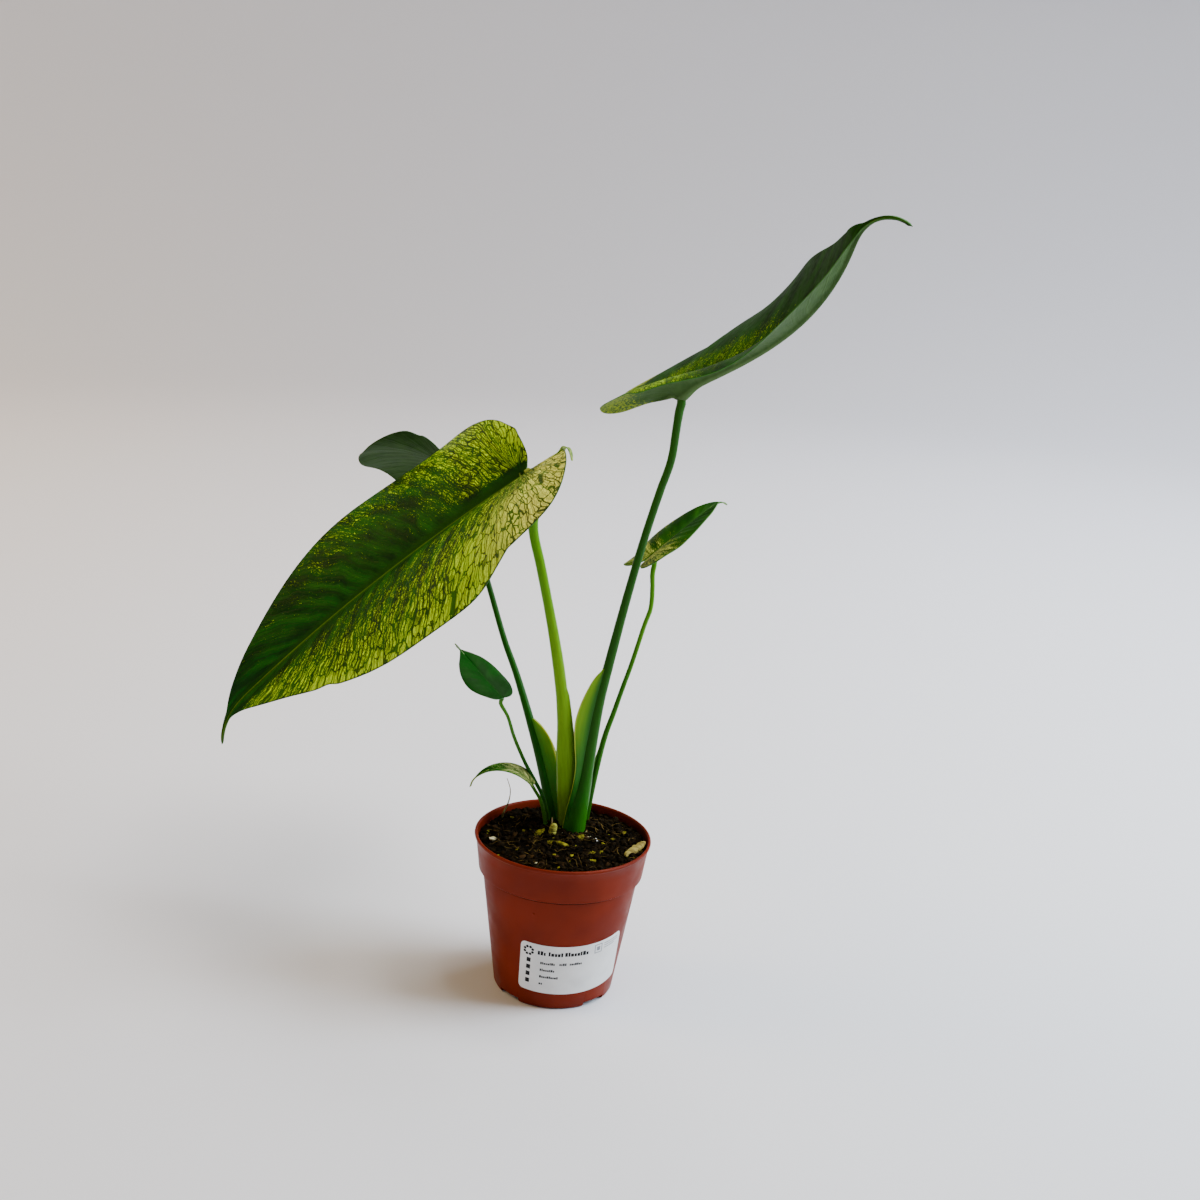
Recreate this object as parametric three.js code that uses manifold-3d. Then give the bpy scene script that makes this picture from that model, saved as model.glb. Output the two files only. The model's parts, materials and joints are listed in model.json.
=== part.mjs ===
import * as THREE from 'three';
import { mergeVertices } from 'three/addons/utils/BufferGeometryUtils.js';
import Module from 'manifold-3d';

// A small variegated monstera in a 12 cm nursery pot.
// Millimetres, +Z up, origin at the centre of the pot's flat base.
// The front of the plant, with the pot's label, looks along -Y.

const wasm = await Module();
wasm.setup();

// Clearance that neighbouring pieces keep
const GAP = 0.35;

// Nursery pot: thin moulded plastic, a tapered wall and a wider band under the lip
const POT = {
  height: 110.6,
  baseRadius: 40.8,
  wall: 1.2,
  floor: 1.6,
  stepLow: 83.5,
  stepHigh: 87.2,
  radiusBelowStep: 53.1,
  radiusAboveStep: 56.1,
  bandTopRadius: 58.9,
  lipRadius: 60,
  lipHeight: 2.4,
  sides: 60,
};

// Drain slots in the corner between wall and floor
const DRAIN = { count: 4, firstAngle: -44.5, width: 17, height: 2.6, depth: 12 };

// Paper label wrapped on the tapered wall
const LABEL = { angle: -71.2, z: 31.6, tilt: 1.9, width: 76, height: 38.6, corner: 3.5, thickness: 0.4 };

// Potting mix: filled to just below the lip, with lumps and chips standing out of it
const SOIL = {
  level: 103.8,
  mound: 2.4,
  edgeRadius: 56.2,
  rings: 13,
  sectors: 56,
  chips: 34,
  chipRadius: [3.2, 5.0],
  chipHeight: [0.8, 2.4],
  seed: 17,
};

// Leaf outline, from the notch at the stalk round the rear lobe to the tip: each point is a share of
// the half width, then a share of the rear lobe (negative) or of the blade length (positive)
const OUTLINE = [
  [0, 0],
  [0.07, -0.5],
  [0.26, -0.9],
  [0.55, -1],
  [0.85, -0.62],
  [1, 0.06],
  [0.99, 0.22],
  [0.86, 0.44],
  [0.6, 0.65],
  [0.3, 0.83],
  [0.08, 0.95],
  [0.025, 1],
];
const SHOULDER = 5;

// How far along the blade a half that cups round the stalk still lifts
const CUP_REACH = 0.18;

// Blade thickness, the rib that the midrib raises under it, and how far the side veins lean forward
const BLADE = { thickness: 0.8, ribDepth: 1.2, veinLag: 0.14 };

// Leaves. at: where the stalk meets the blade. heading: compass angle of the midrib from +X. rise: its
// slope there. droop, turn, twist: change of slope, heading and roll by the end of the blade. hook: extra
// droop of the thin tip. bow: an upward bend that grows towards the tip. fold: lift of each half at the
// midrib. curl: how far it bends back by the margin. back: bend of the rear lobe. neck, shoulder: width
// shares of the lobe and of the margin just before it. cup, cupCurl: more fold and curl close to the
// stalk. ripple: height and count of the margin's waves. rows, columns: how finely each half is divided.
const LEAVES = {
  leaf_large: {
    color: 0x3a6b14,
    at: [-42.4, -5.7, 357.7],
    heading: 162,
    turn: 16,
    tipTurn: 0,
    rise: -38.5,
    droop: 10.7,
    hook: 42,
    roll: -23.5,
    twist: -38.8,
    length: 280,
    tip: 17.6,
    lobe: 48,
    halfWidth: 79,
    left: { width: 1.1, lobe: 1, neck: 1, shoulder: 1, fold: 23.4, curl: 49.7, back: 2.7 },
    right: {
      width: 0.98,
      lobe: 0.25,
      neck: 0.53,
      shoulder: 0.73,
      fold: 24,
      curl: 49.2,
      back: 12.4,
      cup: 38.4,
      cupCurl: 22.8,
    },
    ripple: [1.6, 5.5],
    rows: 44,
    columns: [0.03, 0.14, 0.34, 0.56, 0.78, 1],
  },
  leaf_high: {
    color: 0x2d5a1b,
    at: [51.7, -12.6, 419.9],
    heading: -32,
    turn: -45.2,
    tipTurn: 66.9,
    rise: 29.3,
    droop: 5.3,
    bow: 39.5,
    hook: 111.7,
    roll: 12,
    twist: 59.5,
    length: 194.9,
    tip: 26,
    lobe: 46.1,
    halfWidth: 61.8,
    left: { width: 1.09, lobe: 1.19, neck: 1, shoulder: 1, fold: 26.3, curl: 29.7, back: -2.6 },
    right: { width: 0.92, lobe: 0.82, neck: 0.95, shoulder: 1.09, fold: 35.8, curl: 36.7, back: -12.9 },
    ripple: [1.2, 5],
    rows: 36,
    columns: [0.04, 0.18, 0.4, 0.64, 0.84, 1],
  },
  leaf_small_right: {
    color: 0x3c5e30,
    at: [44.9, 38, 300],
    heading: 40.8,
    turn: 6.7,
    tipTurn: 0,
    rise: 32.5,
    droop: 13.6,
    hook: 68.8,
    roll: -10.9,
    twist: 8.8,
    length: 71.4,
    tip: 7.6,
    lobe: 15.4,
    halfWidth: 21,
    left: { width: 1, lobe: 1, neck: 1, shoulder: 1, fold: 18.8, curl: 49.9, back: 8 },
    right: { width: 1, lobe: 1, neck: 1, shoulder: 1, fold: 20.9, curl: 27.1, back: 2.8 },
    ripple: [0.5, 4],
    rows: 24,
    columns: [0.08, 0.34, 0.68, 1],
  },
  leaf_back: {
    color: 0x3f6440,
    at: [-93.4, 114.2, 328.2],
    heading: 93,
    turn: 14.8,
    tipTurn: 0,
    rise: -14.7,
    droop: 28,
    hook: 25,
    roll: 17,
    twist: 0,
    length: 150,
    tip: 20,
    lobe: 51.4,
    halfWidth: 61,
    left: { width: 1.22, lobe: 1, neck: 1, shoulder: 1, fold: 16, curl: 43.8, back: 32.4 },
    right: { width: 1, lobe: 1, neck: 1, shoulder: 1, fold: 16, curl: 43.8, back: 32.4 },
    ripple: [1.6, 5],
    rows: 30,
    columns: [0.05, 0.22, 0.46, 0.74, 1],
  },
  leaf_plain: {
    color: 0x1e5c2c,
    at: [-46.9, 6, 202.8],
    heading: 138.7,
    turn: -7.7,
    tipTurn: 0,
    rise: 26,
    droop: 4.3,
    hook: 5,
    roll: -1.5,
    twist: -3.7,
    length: 51,
    tip: 6.6,
    lobe: 4.3,
    halfWidth: 17.2,
    left: { width: 1, lobe: 1, neck: 1, shoulder: 1, fold: 18.8, curl: 40.4, back: 0 },
    right: { width: 1, lobe: 1, neck: 1, shoulder: 1, fold: 16.2, curl: 47.8, back: 0 },
    ripple: [0.3, 3],
    rows: 20,
    columns: [0.08, 0.36, 0.68, 1],
  },
  leaf_curled: {
    color: 0x5c7d33,
    at: [-25, 16, 139],
    heading: 184,
    turn: 12,
    tipTurn: 0,
    rise: 52,
    droop: 96,
    hook: 30,
    roll: -12,
    twist: -10,
    length: 44,
    tip: 6,
    lobe: 3,
    halfWidth: 6.4,
    left: { width: 1, lobe: 1, neck: 1, shoulder: 1, fold: 30, curl: 30, back: 0 },
    right: { width: 1, lobe: 1, neck: 1, shoulder: 1, fold: 30, curl: 30, back: 0 },
    ripple: [0.3, 3],
    rows: 20,
    columns: [0.12, 0.5, 1],
  },
};

// Leafstalks. route: points from inside the potting mix to the blade; the blade's own point ends it.
// neck: how far under the blade the stalk turns in square to it. radius: along the stalk, in even steps.
// sheath: a thin wing on one side, with the angle it points to, its width, and the shares of the stalk
// between which it runs out.
const STALKS = {
  leaf_large: {
    color: 0x86a832,
    route: [
      [1.5, 22, 92],
      [1.5, 21, 107],
      [-0.5, 20, 134],
      [-2.5, 18.5, 160.5],
      [-5, 16.5, 186.5],
      [-9.5, 14, 216],
      [-15, 11, 244.5],
      [-22.3, 7.6, 276.2],
      [-27.4, 5.4, 297],
      [-33.4, 4.6, 320],
    ],
    neck: 12,
    radius: [5, 5.6, 6.6, 6.6, 5.1, 4.1, 3.9, 3.5, 3.2, 3.2, 3.4],
    sides: 14,
    steps: 26,
  },
  leaf_high: {
    color: 0x2f6a1e,
    route: [
      [6.5, 17, 92],
      [6.5, 16, 105],
      [8.6, 16.8, 122],
      [11.3, 17.2, 141],
      [14.6, 17.2, 176],
      [17.6, 16.6, 202],
      [22.2, 15.4, 229],
      [27.1, 12.6, 258],
      [32.9, 8.9, 290.5],
      [39.2, 4, 323],
      [46.2, -1.7, 354.5],
      [51.2, -5.5, 375],
      [52.7, -9, 396],
      [53.4, -11.2, 407],
    ],
    neck: 5,
    radius: [8, 7.8, 6.3, 4.9, 4.5, 4.0, 3.6, 3.25, 3.0, 2.9, 2.6, 2.6, 4.5],
    sheath: { angle: 172, width: 9.5, from: 0.25, to: 0.385 },
    sides: 12,
    steps: 30,
  },
  leaf_small_right: {
    color: 0x4a7a28,
    route: [
      [14, 28, 92],
      [14, 27.5, 106],
      [16, 28, 124.5],
      [18.5, 29, 143],
      [23.5, 30, 172],
      [28.4, 30.7, 190],
      [32.8, 31.4, 207],
      [37.7, 32.2, 225],
      [44.2, 33.7, 252.5],
      [47.4, 34.8, 264],
      [47.6, 36, 277],
      [46.8, 37, 288],
    ],
    neck: 5,
    radius: [2.6, 2.5, 2.4, 2.1, 1.9, 1.7, 1.6, 1.6, 1.6, 1.8],
    sides: 8,
    steps: 20,
  },
  leaf_back: {
    color: 0x2b5f1a,
    route: [
      [-6, 31, 92],
      [-7.5, 31, 106.5],
      [-12, 33, 123.5],
      [-20.5, 38, 151],
      [-29.1, 45, 174],
      [-41.2, 57, 203],
      [-51, 65, 223.5],
      [-66, 81, 260],
      [-81, 98, 294],
    ],
    neck: 9,
    radius: [4.4, 4.3, 3.6, 2.9, 2.3, 2.0, 1.95, 2.0, 2.0, 2.2],
    sheath: { angle: 350, width: 8, from: 0.26, to: 0.34 },
    sides: 12,
    steps: 20,
  },
  leaf_plain: {
    color: 0x4f8a2a,
    route: [
      [-9.5, 22.5, 92],
      [-10.5, 22.5, 105],
      [-16, 22, 127],
      [-22, 21, 138.5],
      [-28.5, 20, 150],
      [-34.6, 18.2, 163],
      [-38.6, 16.4, 173],
      [-43, 13.6, 187],
    ],
    neck: 4,
    radius: [1.5, 1.4, 1.35, 1.3, 1.25, 1.25],
    sides: 7,
    steps: 12,
  },
  leaf_curled: {
    color: 0x7d9a45,
    route: [
      [-11.5, 17, 92],
      [-12, 17, 105],
      [-17, 16.5, 126],
    ],
    neck: 2.5,
    radius: [1.4, 1.3, 1.2, 1.0],
    sides: 7,
    steps: 7,
  },
};

// Extra rings of points where a sheath's wing runs out
const WING_RINGS = 6;

// Bits standing in or lying on the mix
const STUB = { at: [-6.5, 6], lean: 10, radius: 2.9, base: 94, top: 111.5, rings: 4, sides: 16 };
const DRIED_ROOT = {
  route: [
    [-43, 32, 96],
    [-43.5, 32.5, 106],
    [-41, 33, 114],
    [-39, 33, 119],
    [-39.2, 33, 127],
    [-41.5, 33, 132],
  ],
  radius: [0.8, 0.7, 0.6, 0.5],
  sides: 6,
  steps: 14,
};
const FLAKE = { at: [47.8, -5.2, 107.8], turn: 62, tilt: 14, length: 23, width: 9.5, thickness: 1.8 };

const rad = THREE.MathUtils.degToRad;

// A seeded run of numbers from 0 to 1
function randomRun(seed) {
  let state = seed;
  return () => {
    state = (state * 16807) % 2147483647;
    return state / 2147483647;
  };
}

// Geometry from a list of points and a list of triangles
function meshFrom(points, faces) {
  const geometry = new THREE.BufferGeometry();
  geometry.setAttribute('position', new THREE.Float32BufferAttribute(points.flat(), 3));
  geometry.setIndex(faces.flat());
  return geometry;
}

// Vertices closer than a thousandth of a millimetre joined, and triangles that this flattens dropped
function tidied(geometry) {
  const bare = geometry.clone();
  bare.deleteAttribute('normal');
  bare.deleteAttribute('uv');
  const merged = mergeVertices(bare, 1e-3);
  const corners = merged.index.array;
  const kept = new Map();
  for (let i = 0; i < corners.length; i += 3) {
    const [a, b, c] = [corners[i], corners[i + 1], corners[i + 2]];
    if (a === b || b === c || c === a) continue;
    const key = [a, b, c].sort((p, q) => p - q).join('/');
    if (kept.has(key)) kept.delete(key);
    else kept.set(key, [a, b, c]);
  }
  merged.setIndex([...kept.values()].flat());
  return merged;
}

// A closed geometry as a solid that can be joined and cut
function toSolid(geometry) {
  const merged = tidied(geometry);
  return new wasm.Manifold(new wasm.Mesh({
    numProp: 3,
    vertProperties: new Float32Array(merged.attributes.position.array),
    triVerts: new Uint32Array(merged.index.array),
  }));
}

function toGeometry(solid) {
  const mesh = solid.getMesh();
  const geometry = new THREE.BufferGeometry();
  geometry.setAttribute('position', new THREE.BufferAttribute(mesh.vertProperties, 3));
  geometry.setIndex(new THREE.BufferAttribute(mesh.triVerts, 1));
  return tidied(geometry);
}

// The largest piece of a cut solid whose triangles join edge to edge, without the loose scraps of a cut
function largestPiece(geometry) {
  const corners = geometry.index.array;
  const triangles = corners.length / 3;
  const parent = Array.from({ length: triangles }, (_, i) => i);
  const rootOf = (i) => {
    let root = i;
    while (parent[root] !== root) root = parent[root];
    parent[i] = root;
    return root;
  };
  const edges = new Map();
  for (let i = 0; i < triangles; i++) {
    for (let k = 0; k < 3; k++) {
      const [a, b] = [corners[3 * i + k], corners[3 * i + (k + 1) % 3]];
      const key = `${Math.min(a, b)}/${Math.max(a, b)}`;
      edges.set(key, [...(edges.get(key) ?? []), i]);
    }
  }
  for (const sharing of edges.values()) {
    if (sharing.length === 2) parent[rootOf(sharing[0])] = rootOf(sharing[1]);
  }
  const pieces = new Map();
  for (let i = 0; i < triangles; i++) {
    const root = rootOf(i);
    if (!pieces.has(root)) pieces.set(root, []);
    pieces.get(root).push(corners[3 * i], corners[3 * i + 1], corners[3 * i + 2]);
  }
  const kept = geometry.clone();
  kept.setIndex([...pieces.values()].sort((a, b) => b.length - a.length)[0]);
  return kept;
}

// The pot's wall radius, outside, at a height below the step
function bodyRadius(z) {
  return POT.baseRadius + (POT.radiusBelowStep - POT.baseRadius) * z / POT.stepLow;
}

function makePot() {
  const { wall, floor, height, stepLow, stepHigh, lipHeight } = POT;
  const lipBase = height - lipHeight;
  const bandIn = POT.bandTopRadius - wall;
  const profile = [
    [0, 0],
    [POT.baseRadius - 1.6, 0],
    [POT.baseRadius - 0.4, 0.4],
    [bodyRadius(1.6), 1.6],
    [bodyRadius(stepLow / 2), stepLow / 2],
    [POT.radiusBelowStep, stepLow],
    [POT.radiusAboveStep - 0.3, stepHigh - 0.8],
    [POT.radiusAboveStep, stepHigh],
    [POT.bandTopRadius, lipBase],
    [POT.lipRadius - 0.2, lipBase + 0.4],
    [POT.lipRadius, height - 1],
    [POT.lipRadius - 0.6, height],
    [bandIn + 0.9, height],
    [bandIn + 0.1, height - 0.8],
    [bandIn, lipBase],
    [POT.radiusAboveStep - wall, stepHigh],
    [POT.radiusAboveStep - wall - 0.3, stepHigh - 0.9],
    [POT.radiusBelowStep - wall, stepLow - 0.3],
    [bodyRadius(3) - wall, 3],
    [bodyRadius(1.6) - wall - 1, floor],
    [0, floor],
  ].map(([r, z]) => new THREE.Vector2(r, z));
  const lathe = new THREE.LatheGeometry(profile, POT.sides);
  lathe.rotateX(Math.PI / 2);
  let pot = toSolid(lathe);
  for (let i = 0; i < DRAIN.count; i++) {
    const angle = rad(DRAIN.firstAngle + 360 * i / DRAIN.count);
    const slot = new THREE.BoxGeometry(DRAIN.depth, DRAIN.width, DRAIN.height * 2);
    slot.translate(POT.baseRadius, 0, 0);
    slot.rotateZ(angle);
    pot = pot.subtract(toSolid(slot));
  }
  return toGeometry(pot);
}

// A point of the label: along and up on the wall's unrolled cone, about the label's centre
function labelPoint(along, up, off) {
  const taper = (POT.radiusBelowStep - POT.baseRadius) / POT.stepLow;
  const halfAngle = Math.atan(taper);
  const apex = -POT.baseRadius / taper;
  const slant = (LABEL.z - apex) / Math.cos(halfAngle);
  const tilt = rad(LABEL.tilt);
  const u = along * Math.cos(tilt) - up * Math.sin(tilt);
  const v = slant + along * Math.sin(tilt) + up * Math.cos(tilt);
  const z = apex + Math.hypot(u, v) * Math.cos(halfAngle);
  const angle = rad(LABEL.angle) + Math.atan2(u, v) / Math.sin(halfAngle);
  const r = bodyRadius(z) + off;
  return [r * Math.cos(angle), r * Math.sin(angle), z];
}

// The label: columns of points from edge to edge, shorter at the rounded corners
function makeLabel() {
  const half = LABEL.width / 2;
  const steps = [0, 0.3, 1];
  const ends = steps.map((s) => -half + LABEL.corner * s);
  const straight = LABEL.width - 2 * LABEL.corner;
  const middle = Array.from({ length: 15 }, (_, i) => straight * ((i + 1) / 16 - 0.5));
  const columns = [...ends, ...middle, ...ends.map((x) => -x).reverse()];
  const points = [];
  for (const off of [GAP, GAP + LABEL.thickness]) {
    for (const x of columns) {
      const inCorner = Math.max(0, Math.abs(x) - half + LABEL.corner);
      const cut = LABEL.corner - Math.sqrt(LABEL.corner ** 2 - inCorner ** 2);
      const top = LABEL.height / 2 - cut;
      for (const up of [-top, 0, top]) points.push(labelPoint(x, up, off));
    }
  }
  const n = columns.length;
  const id = (face, i, j) => (face * n + i) * 3 + j;
  const faces = [];
  const panel = (a, b, c, d) => faces.push([a, b, c], [a, c, d]);
  for (let i = 0; i < n - 1; i++) {
    for (let j = 0; j < 2; j++) {
      panel(id(1, i, j), id(1, i + 1, j), id(1, i + 1, j + 1), id(1, i, j + 1));
      panel(id(0, i, j), id(0, i, j + 1), id(0, i + 1, j + 1), id(0, i + 1, j));
    }
    panel(id(0, i, 0), id(0, i + 1, 0), id(1, i + 1, 0), id(1, i, 0));
    panel(id(0, i, 2), id(1, i, 2), id(1, i + 1, 2), id(0, i + 1, 2));
  }
  for (let j = 0; j < 2; j++) {
    panel(id(0, 0, j), id(1, 0, j), id(1, 0, j + 1), id(0, 0, j + 1));
    panel(id(0, n - 1, j), id(0, n - 1, j + 1), id(1, n - 1, j + 1), id(1, n - 1, j));
  }
  return meshFrom(points, faces);
}

// Height of the mix at a place: a low mound, broad lumps, and chips standing out of it
function makeSoilHeight() {
  const draw = randomRun(SOIL.seed);
  const between = ([low, high]) => low + (high - low) * draw();
  const chips = Array.from({ length: SOIL.chips }, () => {
    const r = SOIL.edgeRadius * 0.9 * Math.sqrt(draw());
    const angle = 2 * Math.PI * draw();
    const [size, tall] = [between(SOIL.chipRadius), between(SOIL.chipHeight)];
    return { x: r * Math.cos(angle), y: r * Math.sin(angle), size, tall };
  });
  return (x, y) => {
    const out = (x * x + y * y) / SOIL.edgeRadius ** 2;
    let z = SOIL.level + SOIL.mound * (1 - out);
    z += 0.6 * Math.sin(0.31 * x + 1) * Math.cos(0.27 * y) + 0.4 * Math.sin(0.61 * x - 0.43 * y);
    for (const chip of chips) {
      const near = ((x - chip.x) ** 2 + (y - chip.y) ** 2) / chip.size ** 2;
      z += chip.tall * Math.exp(-near);
    }
    return z;
  };
}

// The mix: a lumpy top, and sides that follow the inside of the pot down to its floor
function makeSoil() {
  const height = makeSoilHeight();
  const inner = (z) => bodyRadius(z) - POT.wall - GAP;
  const sideRings = [
    [POT.radiusAboveStep - POT.wall - GAP, POT.stepHigh + 0.3],
    [POT.radiusBelowStep - POT.wall - GAP - 0.2, POT.stepLow - 0.9],
    [inner(40), 40],
    [inner(4), 4],
    [inner(1.6) - 1.6, POT.floor + GAP],
  ];
  const rings = [];
  for (let k = 1; k <= SOIL.rings; k++) {
    const r = SOIL.edgeRadius * k / SOIL.rings;
    rings.push((angle) => {
      const [x, y] = [r * Math.cos(angle), r * Math.sin(angle)];
      return [x, y, height(x, y)];
    });
  }
  for (const [r, z] of sideRings) rings.push((angle) => [r * Math.cos(angle), r * Math.sin(angle), z]);
  const n = SOIL.sectors;
  const points = [[0, 0, height(0, 0)]];
  for (const ring of rings) {
    for (let i = 0; i < n; i++) points.push(ring(2 * Math.PI * i / n));
  }
  points.push([0, 0, POT.floor + GAP]);
  const last = points.length - 1;
  const id = (k, i) => 1 + k * n + (i % n);
  const faces = [];
  for (let i = 0; i < n; i++) {
    faces.push([0, id(0, i), id(0, i + 1)]);
    for (let k = 0; k < rings.length - 1; k++) {
      faces.push([id(k, i), id(k + 1, i), id(k + 1, i + 1)], [id(k, i), id(k + 1, i + 1), id(k, i + 1)]);
    }
    faces.push([id(rings.length - 1, i), last, id(rings.length - 1, i + 1)]);
  }
  return meshFrom(points, faces);
}

// The midrib's course: places and frames along it. Behind the stalk each lobe follows its own bend.
function makeSpine(leaf, half) {
  const count = 160;
  const start = -1.3 * leaf.lobe;
  const end = leaf.length + leaf.tip;
  const step = (end - start) / (count - 1);
  const stations = [];
  for (let i = 0; i < count; i++) {
    const y = start + step * i;
    const share = Math.max(0, y / leaf.length);
    const tipShare = THREE.MathUtils.clamp((y - 0.9 * leaf.length) / (leaf.tip + 0.1 * leaf.length), 0, 1);
    const behind = THREE.MathUtils.clamp(-y / leaf.lobe, 0, 1.3);
    const upturn = (leaf.bow || 0) * share ** 2;
    const droop = leaf.droop * share - upturn + leaf.hook * tipShare ** 1.5 + half.back * behind;
    const slope = rad(leaf.rise - droop);
    const heading = rad(leaf.heading + leaf.turn * share + leaf.tipTurn * tipShare);
    const roll = rad(leaf.roll + leaf.twist * share);
    const level = new THREE.Vector3(-Math.sin(heading), Math.cos(heading), 0);
    const along = new THREE.Vector3(Math.cos(heading), Math.sin(heading), 0).multiplyScalar(Math.cos(slope));
    along.z = Math.sin(slope);
    const above = along.clone().cross(level);
    const left = level.clone().multiplyScalar(Math.cos(roll)).addScaledVector(above, Math.sin(roll));
    const normal = above.multiplyScalar(Math.cos(roll)).addScaledVector(level, -Math.sin(roll));
    const place = new THREE.Vector3();
    if (i > 0) {
      const before = stations[i - 1];
      place.copy(before.place).addScaledVector(along, step / 2).addScaledVector(before.along, step / 2);
    }
    stations.push({ along, left, normal, place });
  }
  const at = (y) => {
    const q = THREE.MathUtils.clamp((y - start) / step, 0, count - 1.001);
    const i = Math.floor(q);
    const mix = (key) => stations[i][key].clone().lerp(stations[i + 1][key], q - i);
    return { place: mix('place'), left: mix('left'), normal: mix('normal') };
  };
  const shift = new THREE.Vector3(...leaf.at).sub(at(0).place);
  return (y) => {
    const frame = at(y);
    frame.place.add(shift);
    return frame;
  };
}

// The margin of one half, flat: distance from the midrib and distance along it
function makeMargin(leaf, half) {
  const points = OUTLINE.map(([across, along], i) => {
    let share = across * half.width;
    if (i > 0 && i < SHOULDER) share *= half.neck;
    if (i === SHOULDER) share *= half.shoulder;
    const reach = along < 0 ? half.lobe * leaf.lobe : leaf.length;
    return new THREE.Vector2(share * leaf.halfWidth, along * reach);
  });
  points.push(new THREE.Vector2(0, leaf.length + leaf.tip));
  return new THREE.SplineCurve(points);
}

// One half of a blade: a function from shares (along the margin, out from the midrib) to a place
function makeHalf(leaf, half, side, rootAt) {
  const spine = makeSpine(leaf, half);
  const margin = makeMargin(leaf, half);
  const [rippleHeight, rippleCount] = leaf.ripple;
  return (s, t) => {
    const edge = margin.getPoint(s);
    const root = rootAt(s);
    const x = edge.x * t;
    const y = root + (edge.y - root) * t;
    const frame = spine(y);
    const nearStalk = Math.exp(-Math.max(0, y) / (CUP_REACH * leaf.length));
    const fold = rad(half.fold + (half.cup ?? 0) * nearStalk);
    const bend = rad(half.curl + (half.cupCurl ?? 0) * nearStalk) / leaf.halfWidth;
    const across = (Math.sin(fold) - Math.sin(fold - bend * x)) / bend;
    const rippleAt = Math.sin(2 * Math.PI * rippleCount * s + side) * Math.sin(Math.PI * s);
    const wave = rippleHeight * t * t * rippleAt;
    const lift = (Math.cos(fold - bend * x) - Math.cos(fold)) / bend + wave;
    frame.place.addScaledVector(frame.left, side * across);
    return frame.place.addScaledVector(frame.normal, lift);
  };
}

// A blade: both faces are the same surface moved out along its normal, joined round the margin
function makeBlade(leaf, spare = 0) {
  const rows = leaf.rows;
  const columns = leaf.columns;
  const leftMargin = makeMargin(leaf, leaf.left);
  const rootAt = (s) => {
    if (s > 0.999) return leaf.length + leaf.tip;
    return Math.max(0, leftMargin.getPoint(s).y - BLADE.veinLag * leaf.length);
  };
  const spine = makeSpine(leaf, leaf.left);
  const halves = [
    [1, makeHalf(leaf, leaf.left, 1, rootAt)],
    [-1, makeHalf(leaf, leaf.right, -1, rootAt)],
  ];
  const points = [];
  const index = new Map();
  const addPoint = (place, normal, key, rib) => {
    if (!index.has(key)) {
      const up = place.clone().addScaledVector(normal, BLADE.thickness / 2 + spare);
      const down = place.clone().addScaledVector(normal, -BLADE.thickness / 2 - spare - rib);
      index.set(key, points.length);
      points.push(up.toArray(), down.toArray());
    }
    return index.get(key);
  };
  const faces = [];
  const face = (a, b, c) => {
    if (a === b || b === c || c === a) return;
    faces.push([a, b, c], [a + 1, c + 1, b + 1]);
  };
  for (const [side, surface] of halves) {
    const grid = [];
    for (let i = 0; i <= rows; i++) {
      const s = i / rows;
      const row = [];
      const midKey = rootAt(s).toFixed(4);
      const mid = spine(rootAt(s));
      const ribFade = 1 - 0.7 * rootAt(s) / leaf.length;
      if (i === 0 || i === rows) {
        const ahead = mid.left.clone().cross(mid.normal);
        mid.place.addScaledVector(ahead, i === 0 ? -spare : spare);
        const only = addPoint(mid.place, mid.normal, midKey, 0);
        grid.push(columns.map(() => only).concat(only));
        continue;
      }
      row.push(addPoint(mid.place, mid.normal, midKey, BLADE.ribDepth * Math.max(0, ribFade)));
      for (const t of columns) {
        const small = 0.004;
        const place = surface(s, t);
        const out = surface(s, t).sub(surface(s, t - small));
        const on = surface(Math.min(1, s + small), t).sub(surface(Math.max(0, s - small), t));
        if (t === 1) place.addScaledVector(out.clone().normalize(), spare);
        const normal = out.cross(on).multiplyScalar(-side).normalize();
        row.push(addPoint(place, normal, `${side}/${i}/${t}`, 0));
      }
      grid.push(row);
    }
    for (let i = 0; i < rows; i++) {
      for (let j = 0; j < columns.length; j++) {
        const [a, b, c, d] = [grid[i][j], grid[i][j + 1], grid[i + 1][j + 1], grid[i + 1][j]];
        if (side > 0) {
          face(a, c, b);
          face(a, d, c);
        } else {
          face(a, b, c);
          face(a, c, d);
        }
      }
      const [p, q] = [grid[i].at(-1), grid[i + 1].at(-1)];
      if (side > 0) faces.push([p, q, q + 1], [p, q + 1, p + 1]);
      else faces.push([p, q + 1, q], [p, p + 1, q + 1]);
    }
  }
  return meshFrom(points, faces);
}

// A value read from a list of even steps
function along(list, share) {
  const q = THREE.MathUtils.clamp(share, 0, 1) * (list.length - 1);
  const i = Math.min(Math.floor(q), list.length - 2);
  return THREE.MathUtils.lerp(list[i], list[i + 1], q - i);
}

// Where a stalk ends: just under the blade, and a point before it that brings it in square to the blade
function underBlade(leaf, stalk) {
  const { place, normal } = makeSpine(leaf, leaf.left)(0);
  const drops = [stalk.neck, BLADE.thickness / 2 + GAP];
  return drops.map((drop) => place.clone().addScaledVector(normal, -drop).toArray());
}

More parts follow.
